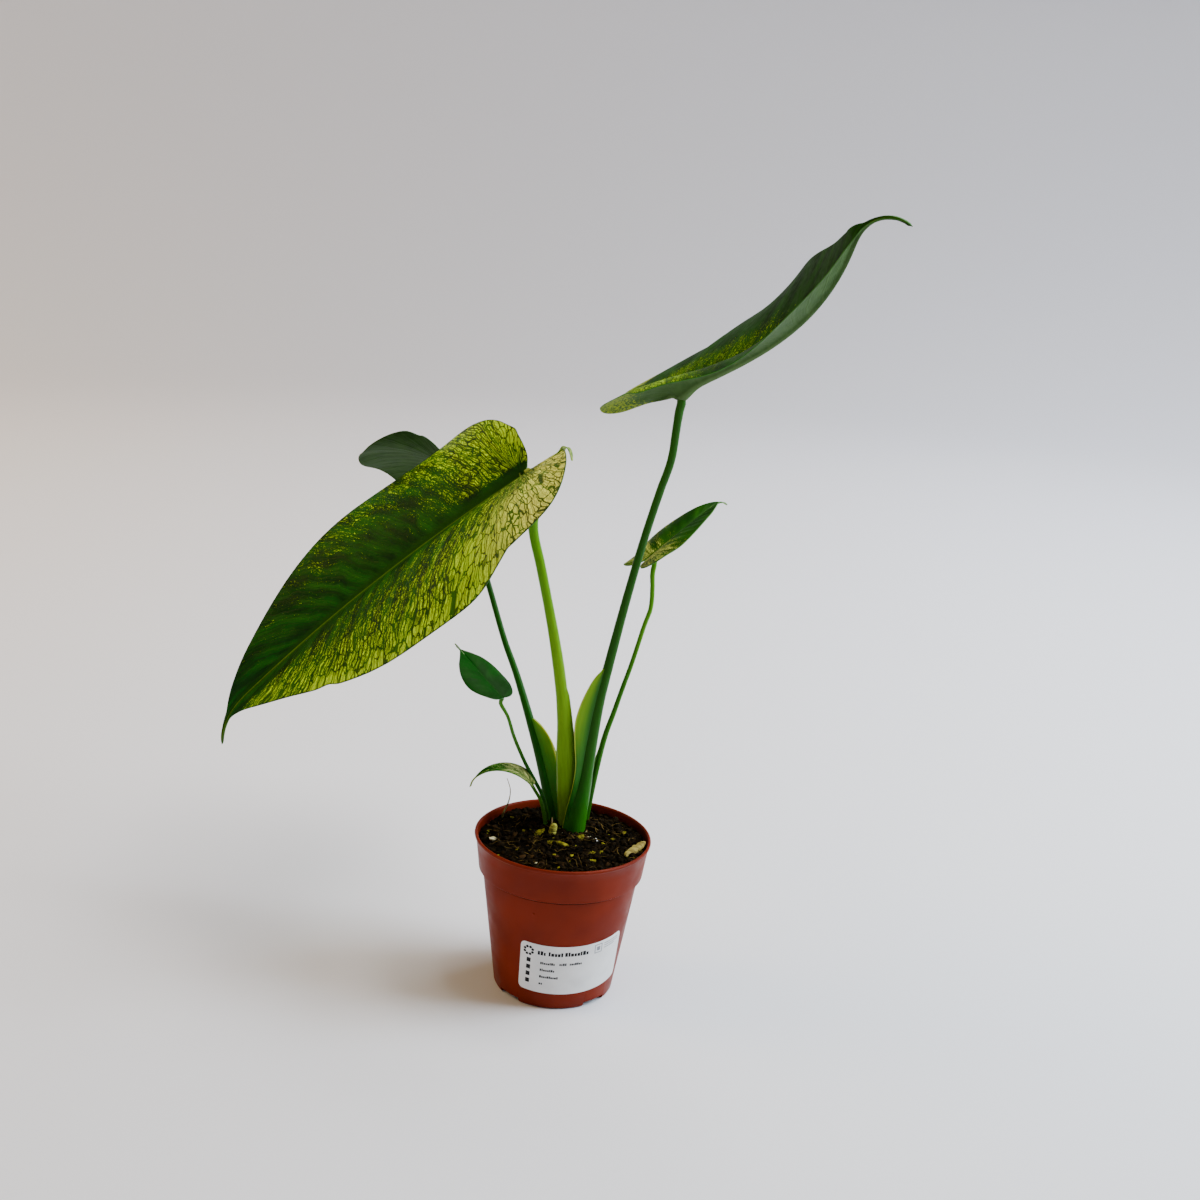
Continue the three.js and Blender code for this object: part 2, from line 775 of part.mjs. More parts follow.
// A stalk: rings along its route, round but for the sheath's wing, which starts and ends softly
function makeStalk(stalk, end = [], spare = 0) {
  const route = stalk.route.concat(end).map((p) => new THREE.Vector3(...p));
  const curve = new THREE.CatmullRomCurve3(route, false, 'centripetal');
  const wing = stalk.sheath;
  const points = [];
  const n = stalk.sides;
  const shares = Array.from({ length: stalk.steps + 1 }, (_, i) => i / stalk.steps);
  if (wing) {
    for (let i = 1; i < WING_RINGS; i++) {
      shares.push(THREE.MathUtils.lerp(wing.from, wing.to, i / WING_RINGS) + 1e-4);
    }
    shares.sort((a, b) => a - b);
  }
  for (const [i, share] of shares.entries()) {
    const place = curve.getPointAt(share);
    const tangent = curve.getTangentAt(share);
    if (spare && i === 0) place.addScaledVector(tangent, -spare);
    const front = new THREE.Vector3(0, 1, 0).addScaledVector(tangent, -tangent.y).normalize();
    const right = front.clone().cross(tangent);
    const r = along(stalk.radius, share) + spare;
    let reach = 0;
    if (wing && share > wing.from * 0.3 && share < wing.to) {
      const low = THREE.MathUtils.smoothstep(share, wing.from * 0.3, wing.from);
      const high = Math.sqrt(1 - THREE.MathUtils.smoothstep(share, wing.from, wing.to));
      reach = wing.width * low * high;
    }
    const turn = rad(wing ? wing.angle : 0);
    const thinned = Math.min(1, reach / 3);
    for (let k = 0; k < n; k++) {
      let x = r * Math.cos(2 * Math.PI * k / n);
      let y = r * Math.sin(2 * Math.PI * k / n);
      if (wing && k === 0) x += reach;
      if (wing && (k === 1 || k === n - 1)) {
        x += reach * 0.86;
        y = Math.sign(y) * THREE.MathUtils.lerp(Math.abs(y), 0.7 + spare, thinned);
      }
      const u = x * Math.cos(turn) - y * Math.sin(turn);
      const v = x * Math.sin(turn) + y * Math.cos(turn);
      points.push(place.clone().addScaledVector(right, u).addScaledVector(front, v).toArray());
    }
  }
  const id = (i, k) => i * n + (k % n);
  const faces = [];
  for (let i = 0; i < shares.length - 1; i++) {
    for (let k = 0; k < n; k++) {
      faces.push([id(i, k), id(i, k + 1), id(i + 1, k + 1)], [id(i, k), id(i + 1, k + 1), id(i + 1, k)]);
    }
  }
  const foot = points.push(curve.getPointAt(0).toArray()) - 1;
  const head = points.push(curve.getPointAt(1).toArray()) - 1;
  if (spare) points[foot] = curve.getPointAt(0).addScaledVector(curve.getTangentAt(0), -spare).toArray();
  const top = shares.length - 1;
  for (let k = 0; k < n; k++) {
    faces.push([foot, id(0, k + 1), id(0, k)], [head, id(top, k), id(top, k + 1)]);
  }
  return meshFrom(points, faces);
}

// The stub of an old stem: a short ringed post with a domed top
function makeStub(spare = 0) {
  const profile = [
    new THREE.Vector2(0, STUB.base - spare),
    new THREE.Vector2(STUB.radius + spare, STUB.base - spare),
  ];
  const ringStep = (STUB.top - STUB.base) / (STUB.rings + 1);
  for (let i = 0; i < STUB.rings; i++) {
    const z = STUB.base + ringStep * (i + 0.9);
    profile.push(new THREE.Vector2(STUB.radius * 0.86 + spare, z));
    profile.push(new THREE.Vector2(STUB.radius + spare, z + ringStep * 0.5));
  }
  profile.push(new THREE.Vector2(STUB.radius * 0.6 + spare, STUB.top - 0.8));
  profile.push(new THREE.Vector2(0, STUB.top + spare));
  const post = new THREE.LatheGeometry(profile, STUB.sides);
  post.rotateX(Math.PI / 2);
  post.translate(0, 0, -STUB.base);
  post.rotateY(rad(-STUB.lean));
  post.translate(STUB.at[0], STUB.at[1], STUB.base);
  return post;
}

// The flake of bark: an uneven plate lying against the lip
function makeFlake(spare = 0) {
  const [a, b] = [FLAKE.length / 2 + spare, FLAKE.width / 2 + spare];
  const corners = [
    [-1, -0.3],
    [-0.72, -0.85],
    [-0.2, -1],
    [0.35, -0.8],
    [0.8, -0.9],
    [1, -0.2],
    [0.86, 0.5],
    [0.3, 0.9],
    [-0.35, 0.78],
    [-0.85, 0.6],
  ];
  const shape = new THREE.Shape(corners.map(([x, y]) => new THREE.Vector2(x * a, y * b)));
  const depth = FLAKE.thickness + 2 * spare;
  const plate = new THREE.ExtrudeGeometry(shape, { depth, bevelEnabled: false });
  plate.translate(0, 0, -depth / 2);
  plate.rotateY(rad(FLAKE.tilt));
  plate.rotateZ(rad(FLAKE.turn));
  plate.translate(...FLAKE.at);
  return plate;
}

const part = new THREE.Group();

function addPiece(name, geometry, color, roughness = 0.6) {
  const material = new THREE.MeshStandardMaterial({ color, roughness, metalness: 0 });
  const mesh = new THREE.Mesh(geometry, material);
  mesh.name = name;
  part.add(mesh);
}

// Stalks that stand against each other: each later one is cut clear of those before it and of the blades
const bladeRoom = Object.values(LEAVES).map((leaf) => toSolid(makeBlade(leaf, GAP)));
const placed = [];
for (const [name, stalk] of Object.entries(STALKS)) {
  const end = underBlade(LEAVES[name], stalk);
  let solid = toSolid(makeStalk(stalk, end));
  for (const room of [...placed, ...bladeRoom]) solid = solid.subtract(room);
  placed.push(toSolid(makeStalk(stalk, end, GAP)));
  addPiece(`${name}_stalk`, largestPiece(toGeometry(solid)), stalk.color, 0.5);
}

for (const [name, leaf] of Object.entries(LEAVES)) {
  addPiece(`${name}_blade`, makeBlade(leaf), leaf.color, 0.45);
}

addPiece('old_stem_stub', makeStub(), 0xb59a6c, 0.9);
addPiece('dried_root', makeStalk(DRIED_ROOT), 0xa58a58, 0.9);
addPiece('bark_flake', makeFlake(), 0xcdb37c, 0.9);

// The mix: each stalk, the stub, the root and the flake sit in holes of their own shape
for (const bit of [makeStub(GAP), makeStalk(DRIED_ROOT, [], GAP), makeFlake(GAP)]) placed.push(toSolid(bit));
let soil = toSolid(makeSoil());
for (const room of placed) soil = soil.subtract(room);
addPiece('soil', toGeometry(soil), 0x1c150d, 1);
addPiece('pot', makePot(), 0x8a2f16, 0.45);
addPiece('label', makeLabel(), 0xf2f1ee, 0.6);

export default part;
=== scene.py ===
import json
import math

import bmesh
import bpy
import numpy as np
from mathutils import Matrix, Vector, noise

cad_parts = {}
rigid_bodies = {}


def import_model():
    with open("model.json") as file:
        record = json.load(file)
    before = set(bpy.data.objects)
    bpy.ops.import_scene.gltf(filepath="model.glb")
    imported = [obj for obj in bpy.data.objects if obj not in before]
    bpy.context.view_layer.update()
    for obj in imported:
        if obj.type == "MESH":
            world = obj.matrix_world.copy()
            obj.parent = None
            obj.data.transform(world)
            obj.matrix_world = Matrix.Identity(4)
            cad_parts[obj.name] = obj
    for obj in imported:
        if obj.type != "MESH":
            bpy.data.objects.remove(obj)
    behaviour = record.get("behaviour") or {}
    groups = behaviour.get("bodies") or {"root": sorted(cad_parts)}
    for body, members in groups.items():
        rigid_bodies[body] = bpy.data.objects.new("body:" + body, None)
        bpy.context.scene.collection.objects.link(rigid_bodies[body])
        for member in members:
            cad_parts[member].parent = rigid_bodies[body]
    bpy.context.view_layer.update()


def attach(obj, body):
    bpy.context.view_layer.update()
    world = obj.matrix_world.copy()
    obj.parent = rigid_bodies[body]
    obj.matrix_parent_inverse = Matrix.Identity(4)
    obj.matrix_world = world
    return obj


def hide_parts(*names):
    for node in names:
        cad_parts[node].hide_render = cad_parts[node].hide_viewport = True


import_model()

# Camera
# The view of the photograph: a metre in front of the plant, looking a little down, slightly tilted.
# Its frame is square, and its lens sees about 38 degrees.
camera_data = bpy.data.cameras.new("camera")
camera_data.sensor_width = 36
camera_data.lens = 52.5
camera = bpy.data.objects.new("camera", camera_data)
bpy.context.scene.collection.objects.link(camera)
look_down = math.radians(16.71)
tilt = math.radians(4.35)
ahead = Vector((0, math.cos(look_down), -math.sin(look_down)))
above = Vector((0, math.sin(look_down), math.cos(look_down)))
sideways = Vector((1, 0, 0)) * math.cos(tilt) + above * math.sin(tilt)
upright = above * math.cos(tilt) - Vector((1, 0, 0)) * math.sin(tilt)
turned = Matrix((sideways, upright, -ahead)).transposed()
camera.matrix_world = Matrix.Translation((0.013, -1.093, 0.606)) @ turned.to_4x4()
bpy.context.scene.camera = camera

# Floor and light
# A wide sheet of pale paper, flat under the plant and curved up all round into a backdrop. Soft cool light
# comes from windows on the right, warm light from the left, some from a ceiling, and the room is dim.


def tint(red, green, blue):
    """A colour as it is seen, 0 to 255, as the light value that a shader takes"""
    seen = [value / 255 for value in (red, green, blue)]
    return [v / 12.92 if v <= 0.04045 else ((v + 0.055) / 1.055) ** 2.4 for v in seen] + [1]


def start_material(name, colour, roughness):
    """A new material with its own shader, ready for more nodes"""
    material = bpy.data.materials.new(name)
    material.use_nodes = True
    shader = material.node_tree.nodes["Principled BSDF"]
    shader.inputs["Base Color"].default_value = colour
    shader.inputs["Roughness"].default_value = roughness
    shader.inputs["Specular IOR Level"].default_value = 0.18
    return material, material.node_tree, shader


def let_go():
    """Nothing is selected, so the next operator acts only on what it makes"""
    for thing in bpy.context.scene.objects:
        thing.select_set(False)
    bpy.context.view_layer.objects.active = None


FLAT_REACH = 2.3
SWEEP = 2.0
SWEEP_END = 0.8 * SWEEP
BACKDROP_SLOPE = 1.33
UNDER_POT = 0.0002
let_go()
bpy.ops.mesh.primitive_grid_add(x_subdivisions=140, y_subdivisions=140, size=12)
floor = bpy.context.object
floor.name = "floor"
for vertex in floor.data.vertices:
    past = max(0.0, vertex.co.xy.length - FLAT_REACH)
    near = min(past, SWEEP_END)
    vertex.co.z = SWEEP - math.sqrt(SWEEP ** 2 - near ** 2) + BACKDROP_SLOPE * (past - near) - UNDER_POT
floor.data.polygons.foreach_set("use_smooth", [True] * len(floor.data.polygons))
floor_finish, tree, shader = start_material("pale_floor", tint(232, 233, 238), 0.75)
shader.inputs["Specular IOR Level"].default_value = 0.15
floor.data.materials.append(floor_finish)

world = bpy.data.worlds.new("room")
bpy.context.scene.world = world
world.use_nodes = True
world.node_tree.nodes["Background"].inputs["Color"].default_value = tint(214, 212, 208)
world.node_tree.nodes["Background"].inputs["Strength"].default_value = 0.15

for name, place, aim, size, power, colour in (
    ("window_right", (1.5, 0.1, 1.1), (0, 0, 0.25), 0.9, 44, (0.74, 0.87, 1.0)),
    ("window_far", (1.3, 1.3, 1.5), (0.9, 2.7, 0.3), 0.9, 44, (0.8, 0.87, 1.0)),
    ("window_left", (-1.5, 0.1, 1.2), (-0.3, 0.3, 0.2), 0.8, 15, (1.0, 0.64, 0.28)),
    ("wall_left", (-1.6, 1.0, 1.5), (-1.5, 2.8, 0.5), 0.9, 24, (1.0, 0.66, 0.3)),
    ("ceiling", (0.7, 0.15, 1.95), (0.2, 0.1, 0), 1.2, 48, (1.0, 0.97, 0.93)),
):
    lamp_data = bpy.data.lights.new(name, "AREA")
    lamp_data.size = size
    lamp_data.energy = power
    lamp_data.color = colour
    lamp = bpy.data.objects.new(name, lamp_data)
    lamp.location = place
    lamp.rotation_euler = (Vector(aim) - Vector(place)).to_track_quat("-Z", "Y").to_euler()
    bpy.context.scene.collection.objects.link(lamp)

# Nursery pot
# One piece of thin terracotta-coloured plastic, moulded in one shot: a tapered wall, a wider band above
# a step, a rounded lip, drain slots through the corner of the base, and a small round mark on the wall
# where the plastic was let in.
MM = 0.001
BASE_RADIUS = 40.8
STEP_RADIUS = 53.1
STEP_HEIGHT = 83.5
SLOT_SIZE = (12 * MM, 18 * MM, 6.8 * MM)
SLOT_REACH = 41 * MM
FIRST_SLOT = -44.5
GATE_HEIGHT = 74
GATE_TURN = -17
POT_SHAPE = [
    (39.2, 0.0), (40.3, 0.35), (41.1, 1.8), (44.0, 21.8), (47.0, 42.0), (50.0, 62.6),
    (52.9, 82.4), (52.75, 84.2), (52.9, 85.0), (55.3, 85.5), (55.9, 86.0), (56.1, 87.0),
    (56.9, 93.5), (58.0, 101.5), (58.85, 107.6), (59.3, 108.1), (59.85, 108.7), (60.0, 109.4),
    (59.85, 110.1), (59.4, 110.5), (58.9, 110.6), (58.4, 110.45), (58.0, 110.0), (57.75, 109.0),
    (57.6, 107.6), (56.8, 101.5), (55.7, 93.5), (54.85, 87.5), (52.5, 84.8), (51.9, 83.2),
    (48.9, 62.6), (45.9, 42.0), (42.9, 21.8), (40.0, 3.4), (39.0, 1.9), (38.0, 1.6),
]


def body_radius(height):
    """Outside radius of the tapered wall, in mm"""
    return BASE_RADIUS + (STEP_RADIUS - BASE_RADIUS) * height / STEP_HEIGHT


let_go()
bpy.ops.mesh.primitive_circle_add(vertices=180, radius=POT_SHAPE[0][0] * MM, fill_type="NGON")
pot = bpy.context.object
pot.name = "nursery_pot"
bpy.ops.object.mode_set(mode="EDIT")
bpy.ops.mesh.select_all(action="SELECT")
# The disc of the base is drawn up the outside, over the lip and down the inside to the floor
for (radius, height), (next_radius, next_height) in zip(POT_SHAPE, POT_SHAPE[1:]):
    lift = (next_height - height) * MM
    widen = next_radius / radius
    bpy.ops.mesh.extrude_region_move(TRANSFORM_OT_translate={"value": (0, 0, lift)})
    bpy.ops.transform.resize(value=(widen, widen, 1), center_override=(0, 0, next_height * MM))
bpy.ops.mesh.select_all(action="SELECT")
bpy.ops.mesh.normals_make_consistent(inside=False)
bpy.ops.object.mode_set(mode="OBJECT")


def choose(piece):
    """Only this piece is selected"""
    let_go()
    piece.select_set(True)
    bpy.context.view_layer.objects.active = piece


def carve(piece, cutter, operation="DIFFERENCE"):
    """Cut one closed piece with another, and throw the cutter away"""
    cut = piece.modifiers.new("cut", "BOOLEAN")
    cut.object = cutter
    cut.operation = operation
    cut.solver = "EXACT"
    choose(piece)
    bpy.ops.object.modifier_apply(modifier="cut")
    bpy.data.objects.remove(cutter)


def smooth(piece, angle=40):
    """Smooth shading, but for edges sharper than the angle"""
    choose(piece)
    bpy.ops.object.shade_smooth_by_angle(angle=math.radians(angle))


for quarter in range(4):
    let_go()
    bpy.ops.mesh.primitive_cube_add(size=1, location=(SLOT_REACH, 0, 0))
    slot_cutter = bpy.context.object
    slot_cutter.scale = SLOT_SIZE
    bpy.ops.object.transform_apply(location=True, rotation=True, scale=True)
    slot_cutter.data.transform(Matrix.Rotation(math.radians(FIRST_SLOT + 90 * quarter), 4, "Z"))
    carve(pot, slot_cutter)

let_go()
bpy.ops.mesh.primitive_uv_sphere_add(segments=16, ring_count=8, radius=0.9 * MM)
gate_mark = bpy.context.object
gate_mark.scale = (1, 1, 0.35)
bpy.ops.object.transform_apply(location=True, rotation=True, scale=True)
gate_mark.data.transform(Matrix.Rotation(math.pi / 2, 4, "X"))
gate_mark.data.transform(Matrix.Translation((0, -body_radius(GATE_HEIGHT) * MM, GATE_HEIGHT * MM)))
gate_mark.data.transform(Matrix.Rotation(math.radians(GATE_TURN), 4, "Z"))
carve(pot, gate_mark, "UNION")
smooth(pot, 35)


def add_node(tree, kind, links=None, **settings):
    """A node in a material: links fill its sockets with values or with other nodes' outputs"""
    made = tree.nodes.new(kind)
    for key, value in settings.items():
        setattr(made, key, value)
    for key, value in (links or {}).items():
        if isinstance(value, bpy.types.NodeSocket):
            tree.links.new(value, made.inputs[key])
        else:
            made.inputs[key].default_value = value
    return made


def object_place(tree):
    """The place on the piece, in metres"""
    return add_node(tree, "ShaderNodeTexCoord").outputs["Object"]


def split(tree, place):
    """The three numbers of a place"""
    return add_node(tree, "ShaderNodeSeparateXYZ", {0: place}).outputs


def grain(tree, where, scale, detail=2.0, roughness=0.5):
    """Soft cloudy noise over a surface"""
    links = {"Vector": where, "Scale": scale, "Detail": detail, "Roughness": roughness}
    return add_node(tree, "ShaderNodeTexNoise", links).outputs["Fac"]


def reckon(tree, operation, first, second=0.5, third=0.0):
    """Arithmetic on one number per place"""
    links = {0: first, 1: second, 2: third}
    return add_node(tree, "ShaderNodeMath", links, operation=operation).outputs[0]


def times(tree, first, second):
    """One number times another"""
    return reckon(tree, "MULTIPLY", first, second)


def step_up(tree, value, low, high, start=0.0, end=1.0):
    """Rises smoothly from start to end as the value goes from low to high"""
    links = {"Value": value, 1: low, 2: high, 3: start, 4: end}
    made = add_node(tree, "ShaderNodeMapRange", links, interpolation_type="SMOOTHSTEP")
    return made.outputs[0]


def blend_colour(tree, share, first, second):
    """Colour going from the first to the second as the share goes from 0 to 1"""
    made = add_node(tree, "ShaderNodeMix", data_type="RGBA")
    for key, value in ((0, share), (6, first), (7, second)):
        if isinstance(value, bpy.types.NodeSocket):
            tree.links.new(value, made.inputs[key])
        else:
            made.inputs[key].default_value = value
    return made.outputs[2]


def raise_bumps(tree, shader, height, strength, depth):
    """Fine relief from a height, in metres of depth"""
    links = {"Height": height, "Strength": strength, "Distance": depth}
    bumps = add_node(tree, "ShaderNodeBump", links)
    tree.links.new(bumps.outputs["Normal"], shader.inputs["Normal"])


pot_finish, tree, shader = start_material("terracotta_plastic", tint(128, 24, 4), 0.42)
place = object_place(tree)
cloud = grain(tree, place, 26, 3)
colour = blend_colour(tree, step_up(tree, cloud, 0.3, 0.7), tint(104, 24, 0), tint(120, 32, 2))
dust = step_up(tree, grain(tree, place, 420, 4, 0.7), 0.62, 0.8)
colour = blend_colour(tree, times(tree, dust, 0.25), colour, tint(150, 66, 34))
parts = split(tree, place)
flat_place = add_node(tree, "ShaderNodeCombineXYZ", {0: parts[0], 1: parts[1]}).outputs[0]
reach = add_node(tree, "ShaderNodeVectorMath", {0: flat_place}, operation="LENGTH").outputs["Value"]
# The wet mix has stained the inner side, which lies this far within the line of the wall's outer side
wall_at = reckon(tree, "MULTIPLY_ADD", parts[2], 0.1473, 0.0408)
wall_at = reckon(tree, "ADD", wall_at, step_up(tree, parts[2], 0.085, 0.086, 0.0, 0.0023))
inside = step_up(tree, reckon(tree, "SUBTRACT", wall_at, reach), 0.0008, 0.0014)
inside = times(tree, inside, step_up(tree, parts[2], 0.001, 0.004))
low_down = step_up(tree, parts[2], 0.1055, 0.1075, 0.7, 0.0)
blotch = step_up(tree, grain(tree, place, 160, 4, 0.6), 0.3, 0.6)
stain = times(tree, inside, times(tree, low_down, blotch))
colour = blend_colour(tree, stain, colour, tint(34, 16, 6))
tree.links.new(colour, shader.inputs["Base Color"])
rough = step_up(tree, grain(tree, place, 90, 3), 0.3, 0.7, 0.36, 0.5)
tree.links.new(rough, shader.inputs["Roughness"])
raise_bumps(tree, shader, grain(tree, place, 900, 2), 0.12, 0.0002)
shader.inputs["Specular IOR Level"].default_value = 0.1
pot.data.materials.append(pot_finish)
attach(pot, "root")
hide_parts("pot")

# Label
# A white paper address label with round corners, stuck on by hand, and so a little crooked. It bends
# round the tapered wall as on a cone.
LABEL_WIDTH = 76.0
LABEL_HEIGHT = 38.6
LABEL_CORNER = 3.5
LABEL_MIDDLE = 31.6
LABEL_TURN = -71.2
LABEL_LEAN = 1.9


def on_wall(along, up, off):
    """A place on the label: mm along and up from its middle, and off the tapered wall"""
    taper = (STEP_RADIUS - BASE_RADIUS) / STEP_HEIGHT
    half_angle = math.atan(taper)
    apex = -BASE_RADIUS / taper
    slant = (LABEL_MIDDLE - apex) / math.cos(half_angle)
    lean = math.radians(LABEL_LEAN)
    across = along * math.cos(lean) - up * math.sin(lean)
    down = slant + along * math.sin(lean) + up * math.cos(lean)
    height = apex + math.hypot(across, down) * math.cos(half_angle)
    angle = math.radians(LABEL_TURN) + math.atan2(across, down) / math.sin(half_angle)
    radius = body_radius(height) + off
    return (radius * math.cos(angle) * MM, radius * math.sin(angle) * MM, height * MM)


def thicken(piece, thickness, offset):
    """Give a sheet its thickness"""
    wall = piece.modifiers.new("wall", "SOLIDIFY")
    wall.thickness = thickness
    wall.offset = offset
    choose(piece)
    bpy.ops.object.modifier_apply(modifier="wall")


let_go()
bpy.ops.mesh.primitive_grid_add(x_subdivisions=96, y_subdivisions=24, size=1)
label = bpy.context.object
label.name = "paper_label"
end = LABEL_WIDTH / 2 - LABEL_CORNER
for vertex in label.data.vertices:
    bent = math.sin(vertex.co.x * math.pi)
    share = vertex.co.x * 2
    along = (0.55 * share + 0.45 * bent) * LABEL_WIDTH / 2
    past = max(0.0, abs(along) - end)
    cut = LABEL_CORNER - math.sqrt(max(0.0, LABEL_CORNER ** 2 - past ** 2))
    up = vertex.co.y * (LABEL_HEIGHT - 2 * cut)
    vertex.co = on_wall(along, up, 0.12)
label.data.update()
thicken(label, 0.16 * MM, 1)
smooth(label, 40)
paper, tree, shader = start_material("label_paper", tint(236, 236, 234), 0.62)
place = object_place(tree)
cloud = step_up(tree, grain(tree, place, 60, 3), 0.3, 0.7)
colour = blend_colour(tree, cloud, tint(228, 228, 226), tint(240, 240, 238))
tree.links.new(colour, shader.inputs["Base Color"])
raise_bumps(tree, shader, grain(tree, place, 1500, 3), 0.1, 0.0001)
label.data.materials.append(paper)
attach(label, "root")
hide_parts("label")

# Label printing
# A thin layer of black and grey ink. The marks are plain and spell nothing: a ring of dots, four blocks
# down the left edge, rows of bars as long as words, and a small square with three lines at the right.
BLOCKS = [(-31.6, up, 2.9, 3.4) for up in (5.4, -0.2, -5.8, -11.4)]
SQUARE_AND_LINES = [
    (14.0, 14.0, 0.5, 6.4), (19.4, 14.0, 0.5, 6.4), (16.7, 10.8, 5.9, 0.5), (16.7, 17.2, 5.9, 0.5),
    (16.7, 14.0, 2.6, 3.0), (28.0, 16.4, 13.0, 0.5), (28.0, 14.6, 13.0, 0.5), (26.5, 12.8, 10.0, 0.5),
]
RING_AT = (-32.0, 13.0)
RING_RADIUS = 3.0
DOT = (0.02, 1.0)


def add_piece(name, points, faces):
    """A new piece from its points, in metres, and its faces"""
    mesh = bpy.data.meshes.new(name)
    mesh.from_pydata(points, [], faces)
    piece = bpy.data.objects.new(name, mesh)
    bpy.context.scene.collection.objects.link(piece)
    return piece


def print_marks(name, bars, dots, ink):
    """Thin ink shapes that follow the label: bars by middle and size, dots by middle and radii"""
    points = []
    faces = []
    for along, up, wide, tall in bars:
        first = len(points)
        steps = max(2, int(wide / 1.2))
        for i in range(steps + 1):
            x = along + wide * (i / steps - 0.5)
            points += [on_wall(x, up - tall / 2, 0.3), on_wall(x, up + tall / 2, 0.3)]
        for i in range(steps):
            a = first + 2 * i
            faces.append((a, a + 2, a + 3, a + 1))
    for along, up, inner, outer in dots:
        first = len(points)
        for i in range(48):
            turn = 2 * math.pi * i / 48
            for radius in (inner, outer):
                x = along + radius * math.cos(turn)
                points.append(on_wall(x, up + radius * math.sin(turn), 0.3))
        for i in range(48):
            a = first + 2 * i
            b = first + 2 * ((i + 1) % 48)
            faces.append((a, a + 1, b + 1, b))
    printed = add_piece(name, points, faces)
    thicken(printed, 0.03 * MM, 1)
    printed.data.materials.append(ink)
    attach(printed, "root")


black_ink = start_material("black_ink", tint(20, 21, 24), 0.55)[0]
grey_ink = start_material("grey_ink", tint(132, 136, 142), 0.55)[0]
dots = []
for i in range(8):
    turn = math.pi * (i + 0.5) / 4
    dots.append((RING_AT[0] + RING_RADIUS * math.cos(turn), RING_AT[1] + RING_RADIUS * math.sin(turn), *DOT))
words = []
for left_end, up, letters, tall in (
    (-25.6, 12.9, 3, 3.3), (-18.2, 13.0, 5, 3.3), (-7.2, 13.3, 8, 3.3),
    (-23.4, 5.0, 8, 2.0), (-10.6, 5.2, 4, 2.0), (-3.6, 5.3, 7, 2.0),
    (-23.4, -0.5, 8, 2.0), (-23.4, -6.0, 10, 2.0), (-23.4, -11.6, 2, 2.0),
):
    along = left_end
    for i in range(letters):
        wide = tall * (0.52, 0.38, 0.6, 0.46)[(i + letters) % 4]
        high = tall * (1.0, 0.72, 0.72, 0.95, 0.72)[(i * 2 + letters) % 5]
        words.append((along + wide / 2, up - (tall - high) / 2, wide, high))
        along += wide + 0.14 * tall
print_marks("label_print_black", BLOCKS + words, dots, black_ink)
print_marks("label_print_grey", SQUARE_AND_LINES, [], grey_ink)

# Potting mix
# Coarse dark peat, filled to just under the lip and heaped a little round the stalks. It is moist and
# loose, so the surface is a crumble of lumps.
MIX_EDGE = 57.3
MIX_LEVEL = 105.0
TOP_SHARE = 0.88
WALL_TOP = 100
WALL_SHARE = 0.8


def mix_height(x, y):
    """Height of the mix in mm at a place"""
    out = (x * x + y * y) / MIX_EDGE ** 2
    near_stalks = math.exp(-((x - 3) ** 2 + (y - 19) ** 2) / 420)
    spot = Vector((x, y, 0))
    z = MIX_LEVEL + 2.2 * (1 - out) + 1.2 * near_stalks
    z += 1.9 * noise.noise(spot / 17 + Vector((3, 8, 1)))
    z += 1.3 * noise.noise(spot / 6.5)
    lumps = noise.voronoi(spot / 4.6)[0]
    z += 2.3 * (0.5 - min(1.0, lumps[0]))
    crumbs = noise.voronoi(spot / 2.1 + Vector((5, 1, 0)))[0]
    z += 1.1 * (0.5 - min(1.0, crumbs[0]))
    return z + 0.35 * noise.noise(spot * 1.1)


let_go()
bpy.ops.mesh.primitive_uv_sphere_add(segments=240, ring_count=130, radius=1)
mix = bpy.context.object
mix.name = "potting_mix"
# The top of the ball becomes the surface of the mix, and the rest its side and base inside the pot
for vertex in mix.data.vertices:
    x, y, z = vertex.co
    polar = math.acos(max(-1.0, min(1.0, z))) / math.pi
    turn = math.atan2(y, x)
    if polar <= TOP_SHARE:
        radius = MIX_EDGE * polar / TOP_SHARE
        x, y = radius * math.cos(turn), radius * math.sin(turn)
        height = mix_height(x, y)
    else:
        down = (polar - TOP_SHARE) / 0.12
        height = WALL_TOP - 98 * min(1.0, down / WALL_SHARE)
        radius = body_radius(height) - 1.4
        if height > 85:
            radius = 56.9 - 3.2 * min(1, (WALL_TOP - height) / 15)
        if down > WALL_SHARE:
            radius = radius * (1 - down) / 0.2
        x, y = radius * math.cos(turn), radius * math.sin(turn)
    vertex.co = (x * MM, y * MM, height * MM)
mix.data.update()
smooth(mix, 180)
peat, tree, shader = start_material("moist_peat", tint(30, 24, 17), 0.85)
place = object_place(tree)
cloud = grain(tree, place, 240, 5, 0.65)
colour = blend_colour(tree, step_up(tree, cloud, 0.42, 0.62), tint(3, 2, 0), tint(24, 17, 4))
specks = step_up(tree, grain(tree, place, 900, 3, 0.7), 0.66, 0.74)
colour = blend_colour(tree, times(tree, specks, 0.5), colour, tint(84, 66, 24))
tree.links.new(colour, shader.inputs["Base Color"])
rough = step_up(tree, grain(tree, place, 300, 4), 0.35, 0.6, 0.55, 0.95)
tree.links.new(rough, shader.inputs["Roughness"])
shader.inputs["Specular IOR Level"].default_value = 0.03
raise_bumps(tree, shader, grain(tree, place, 1000, 6, 0.75), 1.0, 0.0016)
mix.data.materials.append(peat)
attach(mix, "root")
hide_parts("soil")

# Bits in the mix
# Peat crumbs, flat bark chips, thin plant fibres, olive and pale woody chips and white grit. They lie loose
# on the mix as they fell, each with its own size and turn.
SPREAD = 0.97
SUNK = 0.3


